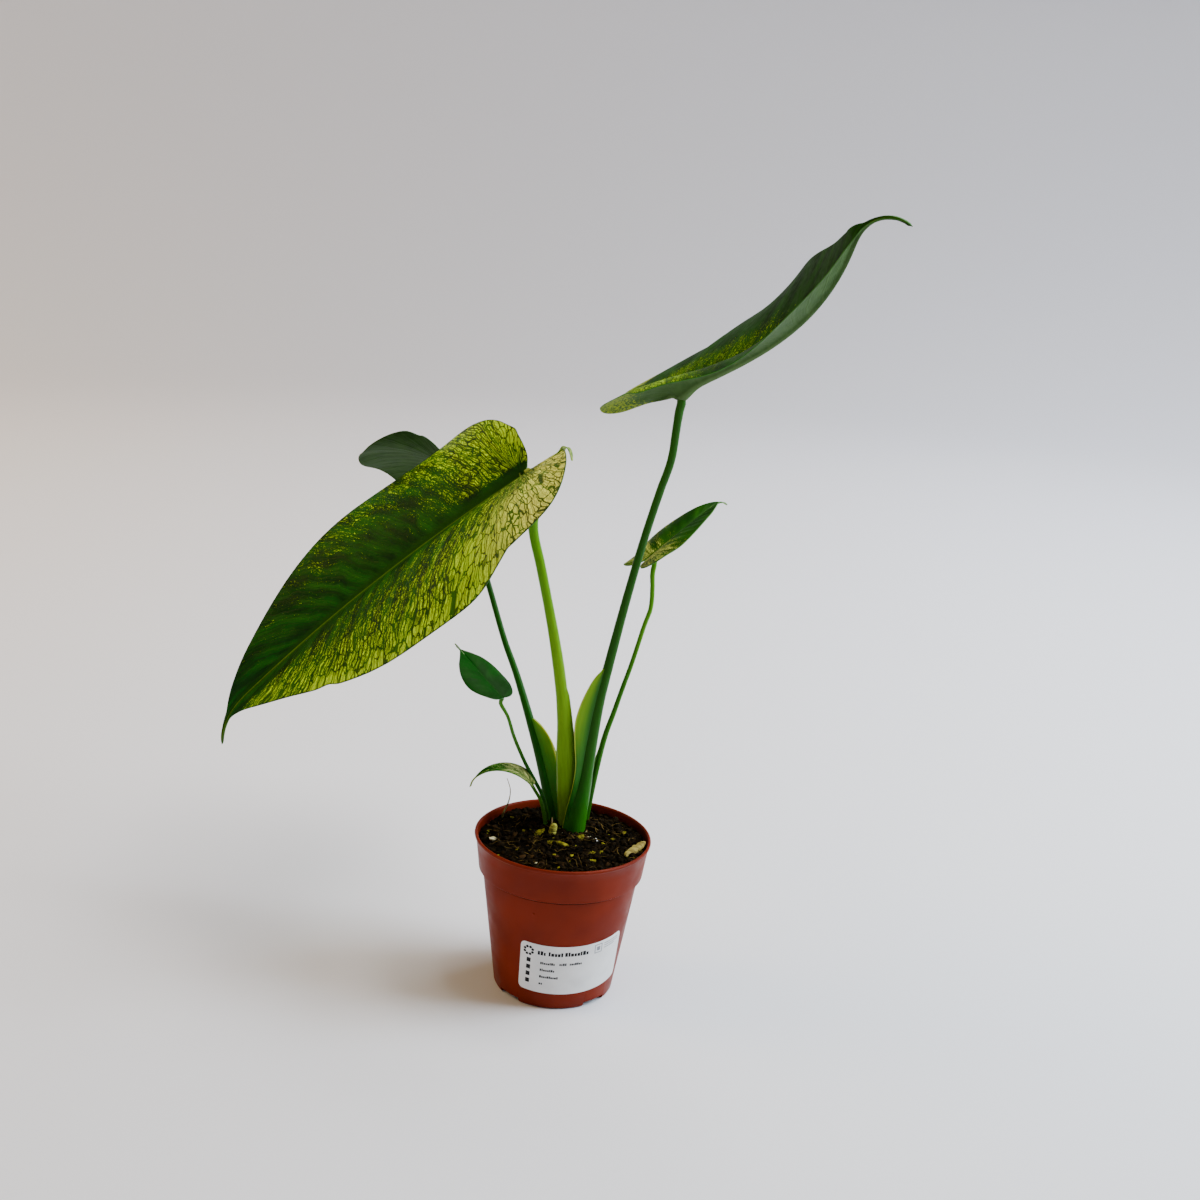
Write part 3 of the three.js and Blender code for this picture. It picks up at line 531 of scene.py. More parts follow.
def bit_material(name, dark, light, roughness, scale):
    """An uneven dry or moist bit, between two colours"""
    finish, tree, shader = start_material(name, dark, roughness)
    shader.inputs["Specular IOR Level"].default_value = 0.05
    place = object_place(tree)
    cloud = step_up(tree, grain(tree, place, scale, 4, 0.6), 0.36, 0.64)
    tree.links.new(blend_colour(tree, cloud, dark, light), shader.inputs["Base Color"])
    raise_bumps(tree, shader, grain(tree, place, scale * 4, 3), 0.5, 0.0004)
    return finish


def rough_lump(seed):
    """A small ball knocked out of round, with a few dozen faces"""
    let_go()
    bpy.ops.mesh.primitive_ico_sphere_add(subdivisions=2, radius=1)
    ball = bpy.context.object
    for vertex in ball.data.vertices:
        push = noise.noise(vertex.co * 1.3 + Vector((seed * 7.3, seed, 2)))
        vertex.co *= 1 + 0.55 * push
    points = np.array([vertex.co[:] for vertex in ball.data.vertices])
    faces = np.array([face.vertices[:] for face in ball.data.polygons])
    bpy.data.objects.remove(ball)
    return points, faces


def scatter(name, chance, count, sizes, flat, finish, spots=()):
    """Copies of a few lumps on the mix, first at spots (x, y, size, length, turn) and then by chance"""
    lumps = [rough_lump(k) for k in range(5)]
    all_points = []
    all_faces = []
    start = 0
    for i in range(count + len(spots)):
        points, faces = lumps[i % 5]
        size = chance.uniform(*sizes)
        long = chance.uniform(1.0, 1.9)
        radius = MIX_EDGE * SPREAD * math.sqrt(chance.uniform(0, 1))
        turn = chance.uniform(0, 2 * math.pi)
        x, y = radius * math.cos(turn), radius * math.sin(turn)
        roll = chance.uniform(0, 2 * math.pi)
        tip = chance.uniform(-0.5, 0.5)
        if i < len(spots):
            x, y, size, long, roll = spots[i]
        out = math.hypot(x, y)
        if out + size * long > MIX_EDGE:
            room = MIX_EDGE - size * long
            x, y = x * room / out, y * room / out
        placed = points * (size * long, size, size * flat)
        turned = Matrix.Rotation(roll, 3, "Z") @ Matrix.Rotation(tip, 3, "Y")
        placed = placed @ np.array(turned).T
        placed = placed + (x, y, mix_height(x, y) + size * flat * (1 - SUNK) * 0.6)
        all_points.append(placed * MM)
        all_faces.append(faces + start)
        start += len(points)
    heap = add_piece(name, np.vstack(all_points).tolist(), np.vstack(all_faces).tolist())
    smooth(heap, 50)
    heap.data.materials.append(finish)
    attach(heap, "root")


chance = np.random.default_rng(11)
dark_crumb = bit_material("peat_crumb", tint(4, 3, 1), tint(32, 22, 6), 0.95, 500)
brown_bark = bit_material("bark_chip", tint(20, 13, 6), tint(62, 42, 18), 0.8, 380)
olive_chip = bit_material("olive_chip", tint(66, 62, 8), tint(146, 136, 36), 0.75, 420)
pale_chip = bit_material("pale_chip", tint(150, 138, 92), tint(222, 212, 168), 0.7, 420)
white_grit = bit_material("white_grit", tint(198, 194, 182), tint(238, 236, 230), 0.8, 700)
scatter("peat_crumbs", chance, 900, (0.5, 1.9), 0.8, dark_crumb)
scatter("bark_chips", chance, 60, (0.8, 2.4), 0.35, brown_bark)
scatter("olive_chips", chance, 34, (0.6, 1.5), 0.5, olive_chip, spots=[
    (-17, 4, 2.8, 1.7, 0.5), (-7, -9, 2.5, 1.5, 0.1), (1, -12, 2.1, 2.0, -0.3), (27, -16, 1.6, 1.4, 1.0),
    (-28, -20, 2.1, 1.5, 1.0), (22, -30, 1.9, 1.9, 0.2), (12, 2, 2.4, 1.3, 0.9), (-3, 12, 1.6, 1.8, 1.4),
    (41, 16, 1.5, 1.5, 0.2), (34, 8, 1.3, 1.6, 0.0), (-36, 30, 1.5, 1.8, 0.5), (-14, 37, 1.4, 1.6, 0.2),
])
scatter("pale_chips", chance, 5, (0.5, 1.1), 0.5, pale_chip, spots=[
    (-47, -7, 2.6, 1.2, 0.4), (17, 5, 1.5, 1.3, 0.2),
])
scatter("white_grit", chance, 5, (0.3, 0.6), 0.85, white_grit, spots=[
    (22, 2.4, 1.3, 1.4, 0.1), (5, -24, 0.6, 1.0, 0), (17, 9, 0.8, 1.1, 0.5),
])


def between(t, low, high, first, second):
    """The value at t, where it is first at low and second at high"""
    return first * (high - t) / (high - low) + second * (t - low) / (high - low)


def walk_along(points):
    """The distance walked at each of a row of points"""
    return np.concatenate([[0], np.cumsum(np.linalg.norm(np.diff(points, axis=0), axis=1))])


def follow(points, count):
    """A smooth way through points, in even steps: places and directions"""
    points = np.asarray(points, float)
    gaps = np.sqrt(np.linalg.norm(np.diff(points, axis=0), axis=1))
    knots = np.concatenate([[0], np.cumsum(gaps)])
    ends = [2 * points[0] - points[1], *points, 2 * points[-1] - points[-2]]
    moments = np.concatenate([[-gaps[0]], knots, [knots[-1] + gaps[-1]]])
    dense = []
    for i in range(len(points) - 1):
        p0, p1, p2, p3 = ends[i:i + 4]
        t0, t1, t2, t3 = moments[i:i + 4]
        for t in np.linspace(t1, t2, 40, endpoint=False):
            before = between(t, t0, t1, p0, p1)
            middle = between(t, t1, t2, p1, p2)
            after = between(t, t2, t3, p2, p3)
            first = between(t, t0, t2, before, middle)
            second = between(t, t1, t3, middle, after)
            dense.append(between(t, t1, t2, first, second))
    dense = np.array(dense + [points[-1]])
    lengths = walk_along(dense)
    even = np.linspace(0, lengths[-1], count)
    places = np.stack([np.interp(even, lengths, dense[:, k]) for k in range(3)], axis=1)
    ways = np.gradient(places, axis=0)
    ways /= np.linalg.norm(ways, axis=1)[:, None]
    return places, ways


def vertex_places(mesh):
    """The places of all points of a mesh, a row for each"""
    flat = np.empty(len(mesh.vertices) * 3)
    mesh.vertices.foreach_get("co", flat)
    return flat.reshape(-1, 3)


def put_uv(mesh, name, u, v):
    """A UV map with one value for each point"""
    layer = mesh.uv_layers.get(name) or mesh.uv_layers.new(name=name)
    corners = np.empty(len(mesh.loops), int)
    mesh.loops.foreach_get("vertex_index", corners)
    layer.data.foreach_set("uv", np.stack([u[corners], v[corners]], axis=1).ravel())


def grow(name, route, radii, sides=24, rings=60, shape=None):
    """A stalk or root: a long cylinder cut into rings, and each ring set on its route"""
    let_go()
    bpy.ops.mesh.primitive_cylinder_add(vertices=sides, radius=1, depth=1, end_fill_type="TRIFAN")
    stalk = bpy.context.object
    stalk.name = name
    bpy.ops.object.mode_set(mode="EDIT")
    bpy.ops.mesh.select_all(action="DESELECT")
    edit = bmesh.from_edit_mesh(stalk.data)
    for edge in edit.edges:
        edge.select = abs(edge.verts[0].co.z - edge.verts[1].co.z) > 0.5
    bmesh.update_edit_mesh(stalk.data)
    bpy.ops.mesh.subdivide(number_cuts=rings - 2)
    bpy.ops.object.mode_set(mode="OBJECT")
    flat = vertex_places(stalk.data)
    places, ways = follow(route, rings)
    rearward = np.array((0.0, 1.0, 0.0))
    front = rearward - ways * (ways @ rearward)[:, None]
    front /= np.linalg.norm(front, axis=1)[:, None]
    right = np.cross(front, ways)
    ring = np.clip(np.rint((flat[:, 2] + 0.5) * (rings - 1)).astype(int), 0, rings - 1)
    share = ring / (rings - 1)
    radius = np.interp(share, np.linspace(0, 1, len(radii)), radii)
    u, v = flat[:, 0] * radius, flat[:, 1] * radius
    if shape:
        u, v = shape(share, u, v, radius)
    placed = places[ring] + right[ring] * u[:, None] + front[ring] * v[:, None]
    stalk.data.vertices.foreach_set("co", (placed * MM).ravel())
    length = np.linalg.norm(np.diff(places, axis=0), axis=1).sum() / 10
    put_uv(stalk.data, "UVMap", np.arctan2(flat[:, 1], flat[:, 0]), share * length)
    stalk.data.update()
    smooth(stalk, 60)
    return stalk


strands = []
for k in range(120):
    radius = 52 * math.sqrt(chance.uniform(0, 1))
    turn = chance.uniform(0, 2 * math.pi)
    x, y = radius * math.cos(turn), radius * math.sin(turn)
    heading = chance.uniform(0, 2 * math.pi)
    length = chance.uniform(4, 15)
    course = []
    for step in range(4):
        course.append((x, y, mix_height(x, y) + 0.9 + chance.uniform(-0.2, 0.9)))
        heading += chance.uniform(-0.7, 0.7)
        x, y = x + length / 3 * math.cos(heading), y + length / 3 * math.sin(heading)
    if max(math.hypot(px, py) for px, py, _ in course) < 56:
        strands.append((course, chance.uniform(0.16, 0.42)))


def face_outward(piece, weld=0.0):
    """Points nearer to each other than weld are joined, and all faces then look outward"""
    choose(piece)
    bpy.ops.object.mode_set(mode="EDIT")
    bpy.ops.mesh.select_all(action="SELECT")
    if weld:
        bpy.ops.mesh.remove_doubles(threshold=weld)
    bpy.ops.mesh.normals_make_consistent(inside=False)
    bpy.ops.object.mode_set(mode="OBJECT")


def lay_fibres(name, strands, finish):
    """Thin three-sided strands, tapered to both ends"""
    points = []
    faces = []
    for course, thick in strands:
        places, ways = follow(course, 10)
        first = len(points)
        for i, (spot, way) in enumerate(zip(places, ways)):
            side = np.cross(way, (0, 0, 1))
            side /= np.linalg.norm(side)
            over = np.cross(side, way)
            size = thick * (0.25 + 0.75 * math.sin(math.pi * (i + 0.3) / 9.6))
            for turn in (0.5, 2.6, 4.7):
                point = spot + side * size * math.cos(turn) + over * size * math.sin(turn)
                points.append(tuple(point * MM))
        for i in range(9):
            for k in range(3):
                a, b = first + 3 * i + k, first + 3 * i + (k + 1) % 3
                faces.append((a, b, b + 3, a + 3))
        faces += [(first + 2, first + 1, first), (first + 27, first + 28, first + 29)]
    heap = add_piece(name, points, faces)
    face_outward(heap)
    heap.data.materials.append(finish)
    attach(heap, "root")


tan_fibre = bit_material("tan_fibre", tint(40, 28, 12), tint(104, 82, 36), 0.8, 300)
lay_fibres("fibres", strands, tan_fibre)

# Stub of an old stem
# What is left of a cut stem: a short blunt yellow-green post with dark ring scars, standing in the mix in
# front of the stalks, with a thin dry brown peg sticking up out of its top.
STUB_ROUTE = [(-9.5, 6, 97), (-8.4, 6, 104), (-7.4, 6, 109), (-6.6, 6, 113.4), (-6.4, 6, 114.6)]
STUB_RADII = [2.8, 2.8, 2.8, 2.7, 2.8, 2.5, 2.9, 2.5, 2.9, 2.5, 2.85, 2.45, 2.8, 2.5, 2.3, 1.5]
PEG_ROUTE = [(-8.0, 6.4, 112.6), (-8.3, 6.6, 116), (-8.2, 6.8, 119)]


def beat_of(tree, value, spacing):
    """Goes up and down between 0 and a half, from one line to the next, where lines are a spacing apart"""
    return reckon(tree, "PINGPONG", reckon(tree, "DIVIDE", value, spacing), 0.5)


stub = grow("old_stem", STUB_ROUTE, STUB_RADII, sides=22, rings=60)
stub_finish, tree, shader = start_material("dry_stem", tint(176, 158, 104), 0.8)
place = object_place(tree)
cloud = step_up(tree, grain(tree, place, 300, 4, 0.6), 0.36, 0.64)
colour = blend_colour(tree, cloud, tint(134, 128, 34), tint(196, 190, 78))
height = split(tree, place)[2]
scar = step_up(tree, beat_of(tree, height, 0.0018), 0.06, 0.14, 0.7, 0.0)
tree.links.new(blend_colour(tree, scar, colour, tint(48, 50, 8)), shader.inputs["Base Color"])
raise_bumps(tree, shader, grain(tree, place, 1200, 3), 0.5, 0.0004)
stub.data.materials.append(stub_finish)
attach(stub, "root")
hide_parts("old_stem_stub")
peg = grow("old_stem_peg", PEG_ROUTE, [0.7, 0.6, 0.5, 0.3], sides=10, rings=14)
peg.data.materials.append(bit_material("dry_peg", tint(92, 74, 40), tint(160, 140, 92), 0.8, 400))
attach(peg, "root")

# Dried root
# A dry brown root that has come up out of the mix on the left. It stands on its own and thins out to a
# bent tip.
ROOT_ROUTE = [
    (-43, 32, 98), (-43.5, 32.5, 106), (-41, 33, 113), (-39.4, 33, 119), (-39.2, 33, 126), (-41.8, 33, 134),
]
root = grow("dry_root", ROOT_ROUTE, [1.0, 0.9, 0.75, 0.5, 0.35, 0.3, 0.22], sides=10, rings=40)
root.data.materials.append(bit_material("dry_root", tint(96, 84, 40), tint(158, 146, 96), 0.8, 260))
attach(root, "root")
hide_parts("dried_root")

# Wood flake
# A thin tan flake of wood with long grain, slightly cupped and ragged at its sides. It lies loose on the mix
# at the right, against the pot's wall.
FLAKE_LENGTH = 23
FLAKE_HALF_WIDTH = 2.4
FLAKE_AT = (49.0 * MM, -10.6 * MM, 107.5 * MM)
let_go()
bpy.ops.mesh.primitive_grid_add(x_subdivisions=40, y_subdivisions=18, size=1)
flake = bpy.context.object
flake.name = "wood_flake"
for vertex in flake.data.vertices:
    x, y, _ = vertex.co
    ragged = noise.noise(Vector((x * 9, y * 2, 4)))
    half = FLAKE_HALF_WIDTH * (1 - abs(2 * x) ** 3) ** 0.5 * (1 + 0.25 * ragged)
    z = 1.2 * math.cos(2.4 * y) + 0.25 * noise.noise(Vector((x * 3, y * 14, 1)))
    vertex.co = (FLAKE_LENGTH * x * MM, 2 * half * y * MM, z * MM)
flake.data.update()
thicken(flake, 1.1 * MM, 0)
turned = Matrix.Rotation(math.radians(56), 4, "Z") @ Matrix.Rotation(math.radians(-6), 4, "Y")
turned = turned @ Matrix.Rotation(math.radians(30), 4, "X")
flake.data.transform(Matrix.Translation(FLAKE_AT) @ turned)
smooth(flake, 50)
flake_finish, tree, shader = start_material("pale_wood", tint(196, 178, 120), 0.7)
place = object_place(tree)
links = {"Vector": place, "Rotation": (0, 0, math.radians(-62)), "Scale": (60, 900, 400)}
along_grain = add_node(tree, "ShaderNodeMapping", links)
lines = grain(tree, along_grain.outputs[0], 1, 3)
colour = blend_colour(tree, step_up(tree, lines, 0.35, 0.65), tint(92, 76, 18), tint(160, 142, 66))
tree.links.new(colour, shader.inputs["Base Color"])
raise_bumps(tree, shader, lines, 0.5, 0.0004)
flake.data.materials.append(flake_finish)
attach(flake, "root")
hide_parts("bark_flake")

# Large leaf: blade
# The newest and largest leaf, hanging forward and to the left. It is a thin living blade that dips to its
# midrib and bends back to a waved margin. One half is sprinkled with yellow, the other is plainer, and the
# end of a rear lobe curls up.
VEIN_LEAN = 0.14
VEIN_ARCH = 0.04
BLADE_THICKNESS = 0.5

# One half of the flat outline, in shares of the half width, and of the length or the rear lobe
OUTLINE = [
    (0, 0), (0.07, -0.5), (0.26, -0.9), (0.55, -1), (0.85, -0.62), (1, 0.06), (0.99, 0.22), (0.86, 0.44),
    (0.6, 0.65), (0.3, 0.83), (0.08, 0.95), (0.025, 1),
]


def outline_of(leaf, half):
    """The flat margin of one half, from the notch round the rear lobe to the tip"""
    points = []
    for i, (across, along) in enumerate(leaf.get("outline", OUTLINE)):
        share = across * half.get("width", 1) * leaf["half_width"]
        share *= half.get("neck", 1) if 0 < i < 5 else 1
        share *= half.get("shoulder", 1) if i == 5 else 1
        reach = half.get("lobe", 1) * leaf["lobe"] if along < 0 else leaf["length"]
        points.append((share, along * reach))
    return np.array(points + [(0, leaf["length"] + leaf["tip"])])


def margin_at(points, shares):
    """Places on a margin, by shares of its points from 0 to 1"""
    where = np.clip(shares, 0, 1) * (len(points) - 1)
    i = np.minimum(where.astype(int), len(points) - 2)
    w = (where - i)[..., None]
    p0, p1 = points[np.maximum(i - 1, 0)], points[i]
    p2, p3 = points[i + 1], points[np.minimum(i + 2, len(points) - 1)]
    v0, v1 = (p2 - p0) / 2, (p3 - p1) / 2
    return (2 * p1 - 2 * p2 + v0 + v1) * w ** 3 + (-3 * p1 + 3 * p2 - 2 * v0 - v1) * w ** 2 + v0 * w + p1


def midrib_of(leaf, half):
    """The midrib's way through the air, as a function of the distance from the stalk"""
    length = leaf["length"]
    y = np.linspace(-1.3 * leaf["lobe"], length + leaf["tip"], 400)
    share = np.maximum(0, y / length)
    hook = np.clip((y - 0.9 * length) / (leaf["tip"] + 0.1 * length), 0, 1)
    behind = np.clip(-y / leaf["lobe"], 0, 1.3)
    upturn = leaf.get("bow", 0) * share ** 2
    droop = leaf["droop"] * share - upturn + leaf["hook"] * hook ** 1.5 + half["back"] * behind
    slope = np.radians(leaf["rise"] - droop)
    heading = np.radians(leaf["heading"] + leaf["turn"] * share + leaf.get("tip_turn", 0) * hook)
    roll = np.radians(leaf["roll"] + leaf["twist"] * share)[:, None]
    level = np.stack([-np.sin(heading), np.cos(heading), 0 * heading], axis=1)
    level_reach = np.cos(slope)
    along = np.stack([np.cos(heading) * level_reach, np.sin(heading) * level_reach, np.sin(slope)], axis=1)
    over = np.cross(along, level)
    left = level * np.cos(roll) + over * np.sin(roll)
    normal = over * np.cos(roll) - level * np.sin(roll)
    steps = (along[1:] + along[:-1]) / 2 * np.diff(y)[:, None]
    places = np.vstack([[0, 0, 0], np.cumsum(steps, axis=0)])
    places += np.array(leaf["at"]) - [np.interp(0, y, places[:, k]) for k in range(3)]

    def read(distance):
        """Place, direction to the left and upward direction at a distance"""
        return [np.stack([np.interp(distance, y, part[:, k]) for k in range(3)], axis=-1)
                for part in (places, left, normal)]
    return read


def rising(value, low, high):
    """0 below low, 1 above high and a smooth rise between"""
    share = np.clip((value - low) / (high - low), 0, 1)
    return share * share * (3 - 2 * share)


def bend_blade(leaf, half, side, s, t, root):
    """Places, upward directions and flat places for shares along the margin and out from the midrib"""
    edge = margin_at(outline_of(leaf, half), s)
    for centre, spread, depth in half.get("dents", ()):
        edge = edge * (1 - depth * np.exp(-((s - centre) / spread) ** 2))[..., None]
    x = edge[..., 0] * t
    y = root + (edge[..., 1] - root) * t
    place, left, normal = midrib_of(leaf, half)(y)
    near_stalk = np.exp(-np.maximum(0, y) / (0.18 * leaf["length"]))
    fold = np.radians(half["fold"] + half.get("cup", 0) * near_stalk)
    bend = np.radians(half["curl"] + half.get("cup_curl", 0) * near_stalk) / leaf["half_width"]
    turn = fold - bend * x
    across = (np.sin(fold) - np.sin(turn)) / bend
    wave = leaf["ripple"][0] * t * t * np.sin(2 * np.pi * leaf["ripple"][1] * s + side) * np.sin(np.pi * s)
    lift = (np.cos(turn) - np.cos(fold)) / bend + wave
    up = normal * np.cos(turn)[..., None] - side * left * np.sin(turn)[..., None]
    return place + left * (side * across)[..., None] + normal * lift[..., None], up, x, y


def put_shares(mesh, name, values):
    """A named value for each point, that a material reads"""
    mesh.attributes.new(name, "FLOAT", "POINT").data.foreach_set("value", values)


def grow_blade(name, leaf, masks, finishes):
    """A blade from a flat grid: bent to its form, puckered into a quilt, coloured by masks and given its
    thickness
    """
    columns, rows = leaf["grid"]
    quilt_width, quilt_height = leaf["quilt"]
    rib = leaf["rib"]
    length = leaf["length"]
    let_go()
    bpy.ops.mesh.primitive_grid_add(x_subdivisions=2 * columns, y_subdivisions=rows, size=1)
    blade = bpy.context.object
    blade.name = name
    mesh = blade.data
    while mesh.uv_layers:
        mesh.uv_layers.remove(mesh.uv_layers[0])
    flat = vertex_places(mesh)
    row = np.rint((flat[:, 1] + 0.5) * rows).astype(int)
    t = np.abs(flat[:, 0] * 2)
    t = 1 - (1 - t) ** 1.15

    fine = np.linspace(0, 1, 4000)
    left_outline = outline_of(leaf, leaf["left"])
    walked = walk_along(margin_at(left_outline, fine))
    s = np.interp(np.linspace(0, walked[-1], rows + 1), walked, fine)[row]
    margin_y = margin_at(left_outline, s)[:, 1]
    root = np.maximum(0, margin_y - VEIN_LEAN * length * (1 - rising(s, 0.84, 1)))

    placed = np.zeros_like(flat)
    x, y = np.zeros(len(flat)), np.zeros(len(flat))
    along_margin, out = np.zeros(len(flat)), np.zeros(len(flat))
    up = np.zeros_like(flat)
    for side, half in ((1, leaf["left"]), (-1, leaf["right"])):
        mine = flat[:, 0] * side < 1e-6
        outline = outline_of(leaf, half)
        placed[mine], up[mine], x[mine], y[mine] = bend_blade(leaf, half, side, s[mine], t[mine], root[mine])
        x[mine] *= side
        along_margin[mine] = np.interp(s[mine], fine, walk_along(margin_at(outline, fine)))
        start = np.stack([0 * root[mine], root[mine]], axis=1)
        out[mine] = np.linalg.norm(margin_at(outline, s[mine]) - start, axis=1) * t[mine]
    beat = np.cos(2 * np.pi * along_margin / quilt_width + 0.5 * np.sin(y / 31))
    swell = rising(t, 0.03, 0.3) * (1 - rising(t, 0.75, 1)) * rising(out, 2, quilt_width)
    placed += up * (0.4 + quilt_height * beat * swell)[:, None]
    down = np.clip(y / length, 0, 1)
    groove = np.exp(-(x / (rib["width"] * (1 - 0.6 * down))) ** 2)
    placed -= up * (rib["groove"] * groove)[:, None]
    mesh.vertices.foreach_set("co", (placed * MM).ravel())

    arched = along_margin - VEIN_ARCH * length * t ** 2.2 * rising(y, -0.05 * length, 0.15 * length)
    put_uv(mesh, "veins", arched / 10 * np.where(x < 0, -1, 1), out / 10)
    put_uv(mesh, "flat", x / 10, y / 10)
    for key, values in masks(leaf, x, y, t).items():
        put_shares(mesh, key, values)
    put_shares(mesh, "rib", np.exp(-(x / (rib["band"] * (1 - 0.7 * down))) ** 2))
    put_shares(mesh, "rim", np.maximum(0, out / np.maximum(t, 1e-3) - out))

    boss = leaf.get("boss", 0) * np.exp(-(x ** 2 + 0.6 * y ** 2) / 8 ** 2) * rising(y, -6, 3)
    deep = rib["depth"] + BLADE_THICKNESS + leaf.get("boss", 0)
    thick = blade.vertex_groups.new(name="thickness")
    width = rib["width"] * (1 - 0.55 * down)
    ridge = rib["depth"] * (1 - 0.6 * down) * np.exp(-(x / width) ** 2)
    for i, share in enumerate((BLADE_THICKNESS + ridge + boss) / deep):
        thick.add([i], float(share), "REPLACE")
    for finish in finishes:
        mesh.materials.append(finish)

    bpy.ops.object.mode_set(mode="EDIT")
    bpy.ops.mesh.select_all(action="SELECT")
    bpy.ops.mesh.remove_doubles(threshold=2e-6)
    bpy.ops.object.mode_set(mode="OBJECT")
    wall = blade.modifiers.new("wall", "SOLIDIFY")
    wall.thickness = deep * MM
    wall.offset = -1
    wall.vertex_group = "thickness"
    wall.thickness_vertex_group = 0
    wall.material_offset = 1
    wall.material_offset_rim = 2
    bpy.ops.object.modifier_apply(modifier="wall")
    smooth(blade, 180)
    return blade


# A leaf in mm and degrees: the heading, rise and roll of its midrib at the stalk and how each changes down
# its length, then for each half its width, its fold at the midrib and its curl out to the margin
LARGE = {
    "at": (-42.4, -5.7, 357.7), "heading": 162, "turn": 16, "rise": -38.5, "droop": 10.7, "hook": 42,
    "roll": -23.5, "twist": -38.8, "length": 280, "tip": 17.6, "lobe": 48, "half_width": 79,
    "ripple": (1.6, 5.5), "grid": (56, 250), "quilt": (15, 0.25),
    "rib": {"width": 3.0, "groove": 0.5, "band": 5.5, "depth": 2.2},
    "left": {"width": 1.1, "fold": 23.4, "curl": 49.7, "back": 2.7, "dents": [(0.68, 0.01, 0.012)]},
    "right": {"width": 0.98, "lobe": 0.25, "neck": 0.53, "shoulder": 0.73, "fold": 24, "curl": 49.2,
              "back": 12.4, "cup": 38.4, "cup_curl": 22.8},
}


def large_masks(leaf, x, y, t):
    """Where the large leaf is sprinkled with yellow, and where it goes pale or cream"""
    along = y / leaf["length"]
    near = x > 0
    base = 1 - rising(along, 0.02, 0.42)
    tip = 1 - rising(along, 0.86, 1.0)
    clear_rib = rising(np.abs(x), 3, 11)
    fleck_near = (0.5 + 0.42 * rising(t, 0.25, 0.85) + 0.25 * base) * (1 - 0.5 * rising(along, 0.9, 1.0))
    upper = rising(t, 0.35, 0.8) * (1 - rising(along, 0.45, 0.85))
    fleck_far = (0.22 + 0.36 * upper + 0.85 * (1 - rising(along, 0.0, 0.38))) * tip
    pale_near = 0.74 * rising(t, 0.66, 1) * (1 - rising(along, 0.66, 0.95))
    pale_near = np.maximum(pale_near, base * (0.2 + 0.76 * rising(t, 0.25, 0.75)))
    pale_far = 0.95 * (1 - rising(along, -0.1, 0.16)) * rising(t, 0.2, 0.7) + 0.1 * rising(t, 0.8, 1)
    cream_near = np.maximum(0.95 * (1 - rising(along, -0.1, 0.16)), 0.1 * rising(t, 0.85, 1))
    cream_far = 0.25 * (1 - rising(along, -0.15, 0.05)) * rising(t, 0.4, 0.9)
    return {"fleck": np.where(near, fleck_near, fleck_far) * clear_rib - 0.35 * (1 - clear_rib),
            "pale": np.clip(np.where(near, pale_near, pale_far), 0, 1) * clear_rib,
            "cream": np.clip(np.where(near, cream_near, cream_far), 0, 1)}


def read_map(tree, name):
    """The place on a UV map"""
    return add_node(tree, "ShaderNodeUVMap", uv_map=name).outputs[0]


def read_share(tree, name):
    """A named value of the mesh"""
    return add_node(tree, "ShaderNodeAttribute", attribute_name=name).outputs["Fac"]


